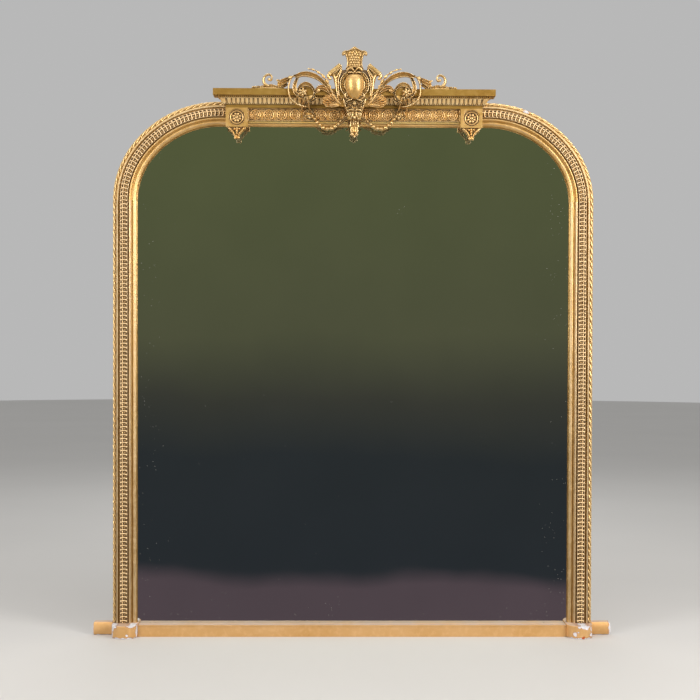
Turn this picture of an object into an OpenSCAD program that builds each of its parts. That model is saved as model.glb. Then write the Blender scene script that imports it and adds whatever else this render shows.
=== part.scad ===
// Overmantel mirror: a gilt pine frame with a three-centred arched top, rope and pearl mouldings,
// a mitred cornice with a carved crest, and a plinth with bow-fronted blocks that stands on a shelf.
// X is right and Z is up. The front faces -Y and the back lies on the wall, the plane y = 0.
// p is a distance in front of the wall, and s is a distance in from the frame's outer edge.

/* [Frame] */
// Width of the frame over its two stiles
frame_w = 1480; // [1400:10:1560]
// Height from the shelf to the top of the arch
frame_h = 1645; // [1560:1:1720]
// Radius of the arch's lower arc, which springs from the stile
arch_side_r = 280; // [270:1:290]
// How much larger the radius of its upper, flatter arc is
arch_ease = 60; // [40:5:70]
// Length of the straight piece between the arch and the corner block
arch_straight = 21; // [16:1:30]

/* [Moulding] */
// Width of the rope moulding on the outer edge
rope_w = 12; // [10:0.5:14]
// Distance in front of the wall of the shoulder under the rope
rope_seat_p = 28; // [26:1:30]
// Distance from one strand of the rope to the next
rope_pitch = 21.3; // [18:0.1:28]
// Width of the flat fillet inside the rope
fillet_w = 6; // [4:0.5:8]
// Distance in front of the wall of that fillet
fillet_p = 46; // [45:0.5:48]
// Radius of the cove between the fillet and the pearl band
cove_r = 6; // [4:0.5:7]
// Width of the pearl band
band_w = 22; // [20:1:24]
// Distance in front of the wall of the seat of the pearl band
band_seat_p = 42; // [40:1:43]
// Height of the pearl band above its seat
band_t = 6; // [4:0.5:8]
// Distance from one pearl of the band to the next
pearl_pitch = 12.2; // [11:0.1:16]
// Radius of a pearl
pearl_r = 4.2; // [3.6:0.1:4.8]
// Width of the groove inside the pearl band
groove_w = 4; // [3:0.5:5]
// Width of the small bead beside that groove
bead_w = 6; // [4:0.5:8]
// Radius of the cove between the bead and the sight edge
inner_cove_r = 6; // [4:0.5:7]
// Radius of the rounded sight edge
sight_r = 12; // [10:0.5:14]
// Width of the flat lip in front of the glass
lip_w = 1; // [0.5:0.5:3]

/* [Glass and back] */
// Distance in front of the wall of the glass's face
glass_p = 22; // [20:0.5:24]
// Thickness of the mirror plate
glass_t = 6; // [4:0.5:7]
// Width of the rebate that the mirror plate lies in
glass_rebate = 12; // [10:0.5:14]
// Clearance round the mirror plate's edge
glass_gap = 1.5; // [1:0.5:3]
// Further width of the rebate that the backboards lie in
board_rebate = 12; // [10:0.5:14]
// Depth of that rebate from the frame's back
board_rebate_p = 10; // [9.5:0.5:12]
// Thickness of a backboard
board_t = 9; // [6:0.5:9]
// Number of backboards
board_count = 6; // [4:1:8]
// Gap between two backboards, and round their edge
board_gap = 1; // [0.5:0.5:3]
// Length of a glazing block
glazing_block_l = 60; // [40:5:90]

/* [Plinth] */
// Length of each ear, from the frame's edge to its bulged end
ear_l = 63; // [50:1:80]
// Height of the rail under the glass
rail_h = 36; // [32:1:40]
// Distance in front of the wall of the rail's face
rail_p = 54; // [48:1:70]
// Height and reach of the fillet along the rail's upper edge
rail_fillet = 3; // [2:0.5:4]
// Width of each bow-fronted block
block_w = 80; // [78:1:95]
// Height of each bow-fronted block
block_h = 40; // [40:1:50]
// Distance in front of the wall of the middle of a block's bow
block_p = 91; // [86:1:110]
// How far the bow stands out from the block's sides
block_bow = 34; // [20:1:36]
// Height of each ear
ear_h = 40; // [34:1:40]
// Distance in front of the wall of an ear's face
ear_p = 30; // [28:1:44]
// How far an ear's end and face bulge
ear_bulge = 4; // [3:0.5:7]

/* [Frieze and cornice] */
// Thickness of the top rail from the wall to the face that carries the frieze
top_rail_p = 50; // [50:0.5:54]
// Height of the frieze panel
frieze_h = 38; // [34:1:42]
// Thickness of the frieze panel's field
frieze_t = 12; // [10:0.5:16]
// Height of the ornament above that field
frieze_relief = 4; // [3:0.5:5]
// Distance from one frieze ring to the next
ring_pitch = 40; // [36:1:44]
// Outer radius of a frieze ring
ring_r = 15.5; // [13:0.5:16]
// Width of a frieze ring
ring_w = 3.5; // [2:0.5:5]
// Width of each corner block
corner_w = 67; // [62:1:72]
// Height of each corner block
corner_h = 58; // [56:1:64]
// Distance in front of the wall of a corner block's face
corner_p = 78; // [74:1:84]
// Radius of the round recess in a corner block
patera_r = 26; // [22:0.5:27]
// Depth of that recess
patera_sink = 6; // [3:0.5:8]
// Length of the leaf that hangs from a corner block
block_drop_l = 34; // [28:1:44]
// Height of the fillet at the foot of the cornice
foot_h = 10; // [8:0.5:14]
// Distance in front of the wall of that fillet
foot_p = 75; // [73:0.5:78]
// Height of the tongue course
tongue_h = 18; // [16:0.5:20]
// Distance from one tongue to the next
tongue_pitch = 13.3; // [12:0.1:18]
// Distance in front of the wall of the foot of the tongue course
tongue_foot_p = 80; // [79:0.5:83]
// How far the tongue course leans forward over its height
tongue_lean = 10; // [8:0.5:12]
// Height of the dentil course
dentil_h = 5.5; // [4:0.5:7]
// Distance from one dentil to the next
dentil_pitch = 6.2; // [5.5:0.1:9]
// Height of the plain fascia at the top
fascia_h = 19.5; // [16:0.5:24]
// Distance in front of the wall of the fascia
fascia_p = 111; // [108:0.5:114]

/* [Crest] */
// Thickness of the pine board that backs the crest
crest_board_t = 20; // [14:1:26]
// Radius of the round cartouche
cartouche_r = 45; // [42:0.5:48]
// Width of the cartouche's rim
rim_w = 8; // [6:0.5:10]
// Height of the cartouche's centre above the cornice
cartouche_rise = 12.5; // [10:0.5:15]
// Half the width of the egg-shaped boss
boss_w = 28; // [25:0.5:29]
// Half the height of the egg-shaped boss
boss_h = 36; // [33:0.5:36.5]
// Height of the palmette's tip above the cornice
finial_rise = 127; // [118:1:134]
// Distance from the crest's middle to the middle of each scroll
scroll_x = 147; // [143:1:151]
// Outer radius of each scroll
scroll_r = 52; // [48:0.5:54]
// Radius of the scroll's eye
scroll_eye_r = 23; // [21:0.5:25]
// Width of the scroll's rib
scroll_w = 9; // [7:0.5:10]
// Height of the carving in front of its backing
carving_t = 15; // [12:0.5:18]
// Distance from the crest's middle to each curl on the cornice
curl_x = 260; // [256:1:275]
// Radius of each curl on the cornice
curl_r = 19; // [16:0.5:21]

/* [Hardware] */
// Distance of the hanging plates below the spring of the arch
hanger_drop = 113; // [80:1:200]
// Width of a hanging plate
hanger_w = 24; // [22:1:28]
// Length of a hanging plate
hanger_l = 60; // [56:1:80]
// Thickness of a hanging plate
hanger_t = 2.5; // [2:0.5:4]
// Radius of the keyhole's round end
keyhole_r = 5.5; // [5:0.5:7]
// Width of the keyhole's slot
keyhole_slot = 5; // [4:0.5:6]
// Radius of the dowels in the frame's joints
dowel_r = 5; // [4:0.5:6]
// Length of those dowels
dowel_l = 50; // [40:2:60]
// Clearance round dowels and tenons
fit_gap = 0.1; // [0.05:0.05:0.3]

/* [Hidden] */
$fn = 48;

gold = [0.78, 0.62, 0.36];
deep_gold = [0.68, 0.52, 0.26];
bronze_gold = [0.80, 0.62, 0.38];
pine = [0.72, 0.58, 0.40];
brass = [0.72, 0.60, 0.30];
silver = [0.32, 0.35, 0.34];

// How far the groove, the bead and the sight edge lie below the members before them
groove_sink = 4;
bead_sink = 1;
sight_sink = 5;
// The strip of the frame above the frieze, which the cornice covers
top_edge_h = 25;
// The step over the tongues, and how far the dentils stand out from it
tongue_lip = 3;
dentil_t = 4;

// ---- Where the moulding's members lie, by distance s from the outer edge ----
fillet_s = rope_w;
band_s = fillet_s + fillet_w + cove_r;
groove_s = band_s + band_w;
bead_s = groove_s + groove_w;
inner_cove_s = bead_s + bead_w;
sight_s = inner_cove_s + inner_cove_r;
mould_w = sight_s + sight_r + lip_w;
groove_p = band_seat_p - groove_sink;
bead_p = band_seat_p - bead_sink;
sight_p = bead_p - sight_sink;
glass_s = mould_w - glass_rebate;
board_s = glass_s - board_rebate;
rope_axis_p = rope_seat_p + rope_w / 4;

// ---- The outer line of the frame ----
// The two arcs meet on a line that rises 3 for each 4 across
arch_turn = atan2(4, 3);
side_r = arch_side_r;
top_r = side_r + arch_ease;
side_x = frame_w / 2 - side_r;
top_x = side_x - 0.8 * arch_ease;
top_z = frame_h - top_r;
spring_z = top_z + 0.6 * arch_ease;
arch_end_x = top_x - arch_straight;
corner_x = arch_end_x - corner_w / 2;
stile_l = spring_z - block_h;
hanger_z = spring_z - hanger_drop;

// ---- Heights of the frieze, the cornice and the crest ----
frieze_top_z = frame_h - top_edge_h;
frieze_z = frieze_top_z - frieze_h;
frieze_p = top_rail_p + frieze_t + frieze_relief;
frieze_x = corner_x - corner_w / 2;
patera_z = frieze_top_z - corner_h / 2;
tongue_z = frieze_top_z + foot_h;
dentil_z = tongue_z + tongue_h;
fascia_z = dentil_z + dentil_h;
cornice_z = fascia_z + fascia_h;
dentil_p = tongue_foot_p + tongue_lean + tongue_lip;
cartouche_z = cornice_z + cartouche_rise;
apron_x = 20;
crest_p = fascia_p;

// ---- Small helpers ----
// Mirrors what is drawn for the left side over to the right
module on_right() { mirror([1, 0, 0]) children(); }

// Extrudes an outline drawn in X and Z from one distance in front of the wall to another
module slab(p0, p1) {
    translate([0, -p0, 0]) rotate([90, 0, 0]) linear_extrude(p1 - p0) children();
}

// Extrudes a profile drawn in s and p up the left stile
module up_stile(z0, z1) {
    translate([-frame_w / 2, 0, z0]) mirror([0, 1, 0]) linear_extrude(z1 - z0) children();
}

// Turns a profile drawn in s and p about one of the two centres of the left arch
module round_arc(x, z, r, a0, a1) {
    translate([x, 0, z]) rotate([90, 0, 0])
        rotate_extrude(angle = a1 - a0, start = a0, $fn = 96) translate([r, 0]) mirror([1, 0]) children();
}

// Extrudes a profile drawn in s and p along the top, from x0 towards the left
module along_top(x0, x1) {
    translate([x0, 0, frame_h]) rotate([180, 90, 0]) linear_extrude(x0 - x1) children();
}

// The whole left arch: side arc, top arc and the short straight piece up to the corner block
module round_arch() {
    round_arc(-side_x, spring_z, side_r, 90 + arch_turn, 180) children();
    round_arc(-top_x, top_z, top_r, 90, 90 + arch_turn) children();
    along_top(-arch_end_x, -top_x) children();
}

// Places things on the left arch: X points outwards, Y back along the moulding, Z to the front
module on_arc(x, z, r, angle) {
    translate([x, 0, z]) rotate([90, 0, 0]) rotate([0, 0, angle]) translate([r, 0, 0]) children();
}
module on_stile(z) {
    translate([-frame_w / 2, 0, z]) rotate([90, 0, 0]) rotate([0, 0, 180]) children();
}
// Spreads copies at about the given pitch along the left stile, and along the left arch
module repeat_stile(pitch) {
    count = round(stile_l / pitch);
    for (i = [0 : count - 1]) on_stile(block_h + (i + 0.5) * stile_l / count) children();
}
module repeat_arch(pitch, s) {
    side_turn = 90 - arch_turn;
    side_n = round((side_r - s) * side_turn * PI / 180 / pitch);
    top_n = round((top_r - s) * arch_turn * PI / 180 / pitch);
    for (i = [0 : side_n - 1])
        on_arc(-side_x, spring_z, side_r, 180 - (i + 0.5) * side_turn / side_n) children();
    for (i = [0 : top_n - 1])
        on_arc(-top_x, top_z, top_r, 90 + arch_turn - (i + 0.5) * arch_turn / top_n) children();
    on_arc(-(top_x + arch_end_x) / 2, top_z, top_r, 90) children();
}

// Points of an arc about a centre
function arc(c, r, a0, a1, n) =
    [for (i = [0 : n]) let (a = a0 + (a1 - a0) * i / n) c + r * [cos(a), sin(a)]];

// The frame's line drawn in by e, closed along a level bottom
function inner_line(e, bottom) = let (n = 12) concat(
    [[frame_w / 2 - e, bottom]],
    arc([side_x, spring_z], side_r - e, 0, 90 - arch_turn, n),
    arc([top_x, top_z], top_r - e, 90 - arch_turn, 90, n),
    arc([-top_x, top_z], top_r - e, 90, 90 + arch_turn, n),
    arc([-side_x, spring_z], side_r - e, 90 + arch_turn, 180, n),
    [[-frame_w / 2 + e, bottom]]);

// A smooth curve through a few points, n steps to each span
function bend(a, b, c, d, t) =
    0.5 * (2 * b + (c - a) * t + (2 * a - 5 * b + 4 * c - d) * t * t
        + (3 * b - a - 3 * c + d) * t * t * t);
function smooth(pts, n) = let (m = len(pts) - 1) [
    for (i = [0 : m - 1], j = [0 : n - 1])
        bend(pts[max(i - 1, 0)], pts[i], pts[i + 1], pts[min(i + 2, m)], j / n),
    pts[m]];

// A volute that winds in from radius r0 to r1
function volute(c, r0, r1, a0, a1, n) = [
    for (i = [0 : n]) let (t = i / n, a = a0 + (a1 - a0) * t,
        r = r1 + (r0 - r1) * (1 + cos(180 * t)) / 2) c + r * [cos(a), sin(a)]];

// A carved rib with a flat back at depth p, along a path in X and Z; w and h are functions of
// the share t of its length, given as lists of a start, a middle and an end value
function blend3(v, t) = t < 0.5 ? v[0] + (v[1] - v[0]) * 2 * t : v[1] + (v[2] - v[1]) * (2 * t - 1);
function path_dir(path, i) = let (m = len(path) - 1,
    d = path[min(i + 1, m)] - path[max(i - 1, 0)]) d / norm(d);
rib_side = [[-1, 0], [-0.86, 0.6], [-0.4, 1], [0.4, 1], [0.86, 0.6], [1, 0]];
module rib(path, p, w, h, beads = 0) {
    m = len(path) - 1;
    k = len(rib_side);
    pts = [for (i = [0 : m]) let (t = i / m, d = path_dir(path, i),
            swell = beads > 0 ? 0.55 + 0.45 * abs(sin(180 * beads * t)) : 1,
            hw = blend3(w, t) / 2 * swell, hh = blend3(h, t) * swell)
        for (q = rib_side) [path[i][0] - d[1] * hw * q[0], -p - hh * q[1], path[i][1] + d[0] * hw * q[0]]];
    sides = [for (i = [0 : m - 1], j = [0 : k - 1]) let (a = i * k + j, b = i * k + (j + 1) % k)
        [a, b, b + k, a + k]];
    polyhedron(points = pts,
        faces = concat([[for (j = [k - 1 : -1 : 0]) j]], sides, [[for (j = [0 : k - 1]) m * k + j]]));
}

// ---- Profiles, drawn in s and p ----
module rebates() {
    translate([glass_s, -1]) square([glass_rebate + 2, glass_p + 1]);
    translate([board_s, -1]) square([board_rebate + 1, board_rebate_p + 1]);
}

module sight_edge() {
    intersection() {
        translate([sight_s, sight_p - sight_r]) circle(sight_r, $fn = 96);
        translate([sight_s, 0]) square([sight_r, sight_p + 1]);
    }
}

module frame_profile() {
    difference() {
        union() {
            square([rope_w, rope_seat_p]);
            translate([fillet_s, 0]) square([fillet_w + cove_r, fillet_p]);
            translate([band_s, 0]) square([band_w, band_seat_p]);
            translate([groove_s, 0]) square([groove_w, groove_p]);
            translate([bead_s, 0]) square([bead_w + inner_cove_r, bead_p]);
            translate([bead_s + bead_w / 2, bead_p]) circle(bead_w / 2);
            translate([sight_s, 0]) square([sight_r + lip_w, glass_p + 2]);
            sight_edge();
        }
        translate([band_s, fillet_p]) circle(cove_r);
        translate([sight_s, bead_p]) circle(inner_cove_r);
        rebates();
    }
}

module top_rail_profile() {
    difference() {
        union() {
            square([sight_s, top_rail_p]);
            translate([sight_s, 0]) square([sight_r + lip_w, glass_p + 2]);
            sight_edge();
        }
        rebates();
    }
}

module rope_profile() {
    intersection() {
        translate([rope_w / 2, rope_axis_p]) circle(rope_w / 2);
        translate([0, rope_seat_p]) square([rope_w, rope_w]);
    }
}

module pearl_band_profile() {
    edge = 2.5;
    translate([band_s, band_seat_p]) {
        square([band_w, band_t - 2]);
        square([edge, band_t]);
        translate([band_w - edge, 0]) square([edge, band_t]);
    }
}

// ---- Joints and what is cut for them ----
dowel_s = 30;
dowel_p = 20;
rail_dowel_p = (glass_p + rail_p) / 2;
nail_r = 1.2;
nail_l = 17;
nail_s = board_s + board_rebate / 2;
tenon = [30, 20, 28];
tenon_s = 10;
tenon_p = 10;

// The four kinds of dowel, all on the left side: stile to arch, arch to top rail,
// rail to block, and block to ear
module dowels(r, l) {
    translate([-frame_w / 2 + dowel_s, -dowel_p, spring_z - l / 2]) cylinder(r = r, h = l);
    translate([-arch_end_x - l / 2, -dowel_p, frame_h - dowel_s]) rotate([0, 90, 0]) cylinder(r = r, h = l);
    translate([-frame_w / 2 + block_w - l / 2, -rail_dowel_p, rail_h / 2 - 3])
        rotate([0, 90, 0]) cylinder(r = r, h = l);
    translate([-frame_w / 2 - l / 2, -ear_p / 2, ear_h / 2]) rotate([0, 90, 0]) cylinder(r = r, h = l);
}
module dowel_bores() { dowels(dowel_r + fit_gap, dowel_l + 2); }

module one_nail(r, l) { rotate([90, 0, 0]) cylinder(r = r, h = l, $fn = 24); }
// Nails along the left edge of the backboards and the left half of their ends
module nails(r, l) {
    back = board_rebate_p - board_t;
    board_w = (frame_w - 2 * board_s) / board_count;
    translate([0, -back, 0]) {
        for (i = [1 : 4])
            translate([-frame_w / 2 + nail_s, 0, block_h + (i - 0.5) * stile_l / 4]) one_nail(r, l);
        for (i = [0 : ceil(board_count / 2) - 1]) {
            x = -frame_w / 2 + board_s + (i + 0.5) * board_w;
            if (x < -board_w / 4) translate([x, 0, board_bottom + board_rebate / 2]) one_nail(r, l);
            if (x > -top_x && x < -board_w / 4)
                translate([x, 0, frame_h - nail_s]) one_nail(r, l);
        }
    }
}
module nail_holes() { nails(nail_r + 0.05, nail_l + 1); }

glass_bottom = rail_h - glass_rebate;
board_bottom = rail_h - glass_rebate - board_rebate;

// The hanging plate's recess, the pocket for the screw's head, and the two screw holes
hanger_s = board_s / 2;
keyhole_z = -8;
keyhole_rise = 20;
hanger_screw_z = hanger_l / 2 - 8;
module at_hanger() { translate([-frame_w / 2 + hanger_s, 0, hanger_z]) children(); }
module hanger_cuts() {
    at_hanger() {
        translate([-hanger_w / 2 - fit_gap, -hanger_t, -hanger_l / 2 - fit_gap])
            cube([hanger_w + 2 * fit_gap, hanger_t + 1, hanger_l + 2 * fit_gap]);
        translate([0, -hanger_t - 10, keyhole_z]) rotate([-90, 0, 0]) cylinder(r = keyhole_r + 2, h = 12);
        translate([-keyhole_r - 2, -hanger_t - 10, keyhole_z])
            cube([2 * keyhole_r + 4, 12, keyhole_rise]);
        for (k = [-1, 1]) translate([0, 0, k * hanger_screw_z]) rotate([90, 0, 0])
            cylinder(r = 2 + fit_gap, h = 22, $fn = 24);
    }
}

// ---- Frame members ----
module stile() {
    color(gold) difference() {
        union() {
            up_stile(block_h, spring_z) frame_profile();
            translate([-frame_w / 2 + tenon_s, -tenon_p - tenon[1], block_h - tenon[2]])
                cube([tenon[0], tenon[1], tenon[2] + 1]);
        }
        dowel_bores();
        nail_holes();
        hanger_cuts();
    }
}

module arch() {
    color(gold) difference() {
        round_arch() frame_profile();
        dowel_bores();
    }
}

module top_rail() {
    color(gold) difference() {
        along_top(arch_end_x, -arch_end_x) top_rail_profile();
        for (k = [0, 1]) mirror([k, 0, 0]) {
            dowel_bores();
            nail_holes();
        }
    }
}

// A slanting cut between two strands of the rope, open to the front and to the outside
module strand_cut() {
    slant = 38;
    deep = rope_w / 2 - 2.6;
    out = rope_w / 2 + 3;
    translate([-rope_w / 2, 0, rope_axis_p]) rotate([0, -50, 0]) rotate([slant, 0, 0])
        linear_extrude(3 * rope_w, center = true) polygon([[deep, 0], [out, 3.2], [out, -3.2]]);
}

module rope_stile() {
    color(gold) difference() {
        up_stile(block_h, spring_z) rope_profile();
        repeat_stile(rope_pitch) strand_cut();
    }
}

module rope_arch() {
    color(gold) difference() {
        round_arch() rope_profile();
        repeat_arch(rope_pitch, 0) strand_cut();
    }
}

// One pearl of the band between two small tongues
module pearl() {
    translate([-band_s - band_w / 2, 0, band_seat_p + band_t - 2]) {
        intersection() {
            sphere(pearl_r, $fn = 32);
            translate([-pearl_r, -pearl_r, -1]) cube(2 * pearl_r);
        }
        translate([-band_w / 2 + 1, pearl_pitch / 2 - 1, -1]) cube([band_w - 2, 2, 2.6]);
    }
}

module pearl_stile() {
    color(gold) {
        up_stile(block_h, spring_z) pearl_band_profile();
        repeat_stile(pearl_pitch) pearl();
    }
}

module pearl_arch() {
    color(gold) {
        round_arch() pearl_band_profile();
        repeat_arch(pearl_pitch, band_s + band_w / 2) pearl();
    }
}

// ---- Mirror plate and back ----
module mirror_plate() {
    e = glass_s + glass_gap;
    color(silver) slab(glass_p - glass_t, glass_p)
        polygon(inner_line(e, glass_bottom + glass_gap));
}

module glazing_blocks() {
    w = glass_rebate - 2 * glass_gap;
    color(pine) for (k = [0, 1]) mirror([k, 0, 0]) {
        for (i = [0 : 3])
            translate([-frame_w / 2 + glass_s + glass_gap, -glass_p + glass_t,
                    block_h + (i + 0.2) * stile_l / 4])
                cube([w, glass_p - glass_t - board_rebate_p, glazing_block_l]);
        for (share = [0.1, 0.6])
            translate([share * frame_w / 2, -glass_p + glass_t, glass_bottom + glass_gap])
                cube([glazing_block_l, glass_p - glass_t - board_rebate_p, w]);
        translate([arch_end_x / 2, -glass_p + glass_t, frame_h - glass_s - glass_gap - w])
            cube([glazing_block_l, glass_p - glass_t - board_rebate_p, w]);
    }
}

module backboards() {
    e = board_s + board_gap;
    board_w = (frame_w - 2 * board_s) / board_count;
    color(pine) difference() {
        intersection() {
            slab(board_rebate_p - board_t, board_rebate_p) polygon(inner_line(e, board_bottom + board_gap));
            for (i = [0 : board_count - 1])
                translate([-frame_w / 2 + board_s + i * board_w + board_gap / 2, -board_rebate_p - 1, 0])
                    cube([board_w - board_gap, board_rebate_p + 2, frame_h]);
        }
        for (k = [0, 1]) mirror([k, 0, 0]) nails(nail_r + 0.05, nail_l);
    }
}

module backboard_nails() {
    color("dimgray") for (k = [0, 1]) mirror([k, 0, 0])
        nails(nail_r, nail_l);
}

module joint_dowels() {
    color(pine) for (k = [0, 1]) mirror([k, 0, 0]) dowels(dowel_r, dowel_l);
}

// ---- Hanging plates ----
module hanging_plate() {
    at_hanger() difference() {
        translate([-hanger_w / 2, -hanger_t, -hanger_l / 2]) cube([hanger_w, hanger_t, hanger_l]);
        translate([0, 1, keyhole_z]) rotate([90, 0, 0]) cylinder(r = keyhole_r, h = hanger_t + 2);
        translate([-keyhole_slot / 2, -hanger_t - 1, keyhole_z])
            cube([keyhole_slot, hanger_t + 2, keyhole_rise - keyhole_r]);
        for (k = [-1, 1]) translate([0, 0, k * hanger_screw_z]) {
            translate([0, 1, 0]) rotate([90, 0, 0]) cylinder(r = 2 + fit_gap, h = hanger_t + 2, $fn = 24);
            rotate([90, 0, 0]) cylinder(r1 = 4 + fit_gap, r2 = 2 + fit_gap, h = 2, $fn = 24);
        }
    }
}
module hanging_plates() {
    color(brass) {
        hanging_plate();
        on_right() hanging_plate();
    }
}

module hanging_screws() {
    color(brass) for (k = [0, 1]) mirror([k, 0, 0]) at_hanger()
        for (j = [-1, 1]) translate([0, 0, j * hanger_screw_z]) rotate([90, 0, 0])
            rotate_extrude($fn = 24) polygon([[0, 0], [4, 0], [2, 2], [2, 18], [0, 21]]);
}

// ---- Plinth ----
module plinth_rail() {
    color(bronze_gold) difference() {
        translate([-frame_w / 2 + block_w, -rail_p, 0])
            cube([frame_w - 2 * block_w, rail_p, rail_h]);
        translate([-frame_w / 2, -rail_p - 1, rail_h - 2 * rail_fillet])
            cube([frame_w, 1 + rail_fillet / 3, rail_fillet]);
        translate([-frame_w / 2, -glass_p, glass_bottom]) cube([frame_w, glass_p + 1, rail_h]);
        translate([-frame_w / 2, -board_rebate_p, board_bottom])
            cube([frame_w, board_rebate_p + 1, rail_h]);
        for (k = [0, 1]) mirror([k, 0, 0]) {
            dowel_bores();
            nail_holes();
        }
    }
}

module block_plan() {
    bow_r = (block_w * block_w / 4 + block_bow * block_bow) / (2 * block_bow);
    intersection() {
        square([block_w, block_p]);
        union() {
            square([block_w, block_p - block_bow]);
            translate([block_w / 2, block_p - bow_r]) circle(bow_r, $fn = 96);
        }
    }
}

module plinth_block() {
    color(bronze_gold) difference() {
        translate([-frame_w / 2, 0, 0]) mirror([0, 1, 0]) linear_extrude(block_h) block_plan();
        translate([-frame_w / 2 + tenon_s - fit_gap, -tenon_p - tenon[1] - fit_gap, block_h - tenon[2] - 1])
            cube([tenon[0] + 2 * fit_gap, tenon[1] + 2 * fit_gap, tenon[2] + 2]);
        translate([-frame_w / 2 + glass_s, -glass_p, glass_bottom]) cube([block_w, glass_p + 1, block_h]);
        translate([-frame_w / 2 + board_s, -board_rebate_p, board_bottom])
            cube([block_w, board_rebate_p + 1, block_h]);
        dowel_bores();
    }
}

// The ear's end and face bulge alike, so its outline is the overlap of two bulged sections
module ear_bulge_profile(l) {
    bulge_r = (ear_h * ear_h / 4 + ear_bulge * ear_bulge) / (2 * ear_bulge);
    intersection() {
        square([l, ear_h]);
        union() {
            square([l - ear_bulge, ear_h]);
            translate([l - bulge_r, ear_h / 2]) circle(bulge_r, $fn = 96);
        }
    }
}
module plinth_ear() {
    color(bronze_gold) difference() {
        intersection() {
            translate([-frame_w / 2, 0, 0]) rotate([90, 0, 0]) linear_extrude(ear_p)
                mirror([1, 0]) ear_bulge_profile(ear_l);
            translate([-frame_w / 2, 0, 0]) rotate([90, 0, -90]) linear_extrude(ear_l)
                ear_bulge_profile(ear_p);
        }
        dowel_bores();
    }
}

// ---- Corner blocks and what they carry ----
module corner_block() {
    color(gold) difference() {
        translate([-corner_x - corner_w / 2, -corner_p, frieze_top_z - corner_h])
            cube([corner_w, corner_p - top_rail_p, corner_h]);
        translate([-corner_x, -corner_p + patera_sink, patera_z]) rotate([90, 0, 0])
            cylinder(r = patera_r, h = patera_sink + 1);
    }
}
module patera() {
    petal_r = patera_r * 0.26;
    color(gold) translate([-corner_x, -corner_p + patera_sink, patera_z]) rotate([90, 0, 0]) {
        difference() {
            cylinder(r = patera_r - 0.3, h = 2);
            translate([0, 0, 1]) cylinder(r = patera_r - 5, h = 2);
        }
        rotate_extrude() translate([patera_r - 3, 2]) intersection() {
            circle(2.7, $fn = 24);
            translate([-3, -1]) square([6, 5]);
        }
        for (i = [0 : 7]) rotate(i * 45) translate([patera_r * 0.46, 0, 1]) intersection() {
            sphere(petal_r, $fn = 32);
            translate([-10, -10, 0]) cube(20);
        }
        translate([0, 0, 1]) intersection() {
            sphere(petal_r * 0.95, $fn = 32);
            translate([-10, -10, 0]) cube(20);
        }
    }
}

// Two leaves that spread like a V below a corner block, with a stem and two berries between them
module block_drop() {
    half = 25;
    back = corner_p - 20;
    low = -block_drop_l;
    color(gold) translate([-corner_x, 0, frieze_top_z - corner_h]) {
        slab(back, corner_p - 8) polygon([[-half, 0], [half, 0], [half - 4, -3], [-half + 4, -3]]);
        for (k = [-1, 1]) {
            rib(smooth([[k * (half - 5), -1.5], [k * half * 0.62, 0.35 * low], [k * half * 0.3, 0.62 * low],
                [k * 4, 0.84 * low]], 4), back, [7, 9, 5], [12, 13, 9]);
            translate([k * 4, -back - 6, low + 4.5]) sphere(4.5, $fn = 24);
        }
        translate([0, -back - 7, 0]) rotate([180, 0, 0]) cylinder(r1 = 6, r2 = 3.5, h = 0.85 * block_drop_l);
    }
}

// ---- Frieze ----
module frieze_panel() {
    edge = 3;
    ring_count = 2 * round((frieze_x - edge) / ring_pitch);
    pitch = 2 * (frieze_x - edge) / ring_count;
    mid_z = frieze_z + frieze_h / 2;
    field_p = top_rail_p + frieze_t;
    color(deep_gold) {
        translate([-frieze_x, -field_p, frieze_z]) cube([2 * frieze_x, frieze_t, frieze_h]);
        slab(field_p, frieze_p) {
            difference() {
                translate([-frieze_x, frieze_z]) square([2 * frieze_x, frieze_h]);
                translate([-frieze_x + edge, frieze_z + edge / 2])
                    square([2 * (frieze_x - edge), frieze_h - edge]);
            }
            for (i = [0 : ring_count - 1]) translate([-frieze_x + edge + (i + 0.5) * pitch, mid_z])
                difference() {
                    circle(ring_r);
                    circle(ring_r - ring_w);
                }
            for (i = [1 : ring_count - 1]) translate([-frieze_x + edge + i * pitch, mid_z])
                difference() {
                    circle(pitch / 2 - ring_r + ring_w + 3);
                    circle(pitch / 2 - ring_r + 1);
                }
        }
        for (i = [0 : ring_count - 1])
            translate([-frieze_x + edge + (i + 0.5) * pitch, -field_p, mid_z]) rotate([90, 0, 0])
                cylinder(r1 = 8, r2 = 4, h = frieze_relief);
    }
}

// ---- Cornice ----
// A face line given as points in p and z from the bottom up, run along the front
// and returned to the top rail's face at both ends with a mitre
return_x = arch_end_x - foot_p;
module mitred(line) {
    last = len(line) - 1;
    intersection() {
        translate([-frame_w / 2, 0, 0]) rotate([90, 0, 90]) linear_extrude(frame_w)
            polygon(concat([[-top_rail_p, line[0][1]]], [for (q = line) [-q[0], q[1]]],
                [[-top_rail_p, line[last][1]]]));
        translate([0, 1, 0]) rotate([90, 0, 0]) linear_extrude(2 * fascia_p)
            polygon(concat([for (q = line) [return_x + q[0], q[1]]],
                [for (i = [last : -1 : 0]) [-return_x - line[i][0], line[i][1]]]));
    }
}

core_line = [[foot_p, frieze_top_z], [foot_p, tongue_z], [tongue_foot_p, tongue_z],
    [tongue_foot_p + tongue_lean, dentil_z], [dentil_p, dentil_z], [dentil_p, fascia_z],
    [fascia_p, fascia_z], [fascia_p, cornice_z]];

module cornice() { color(gold) mitred(core_line); }

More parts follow.
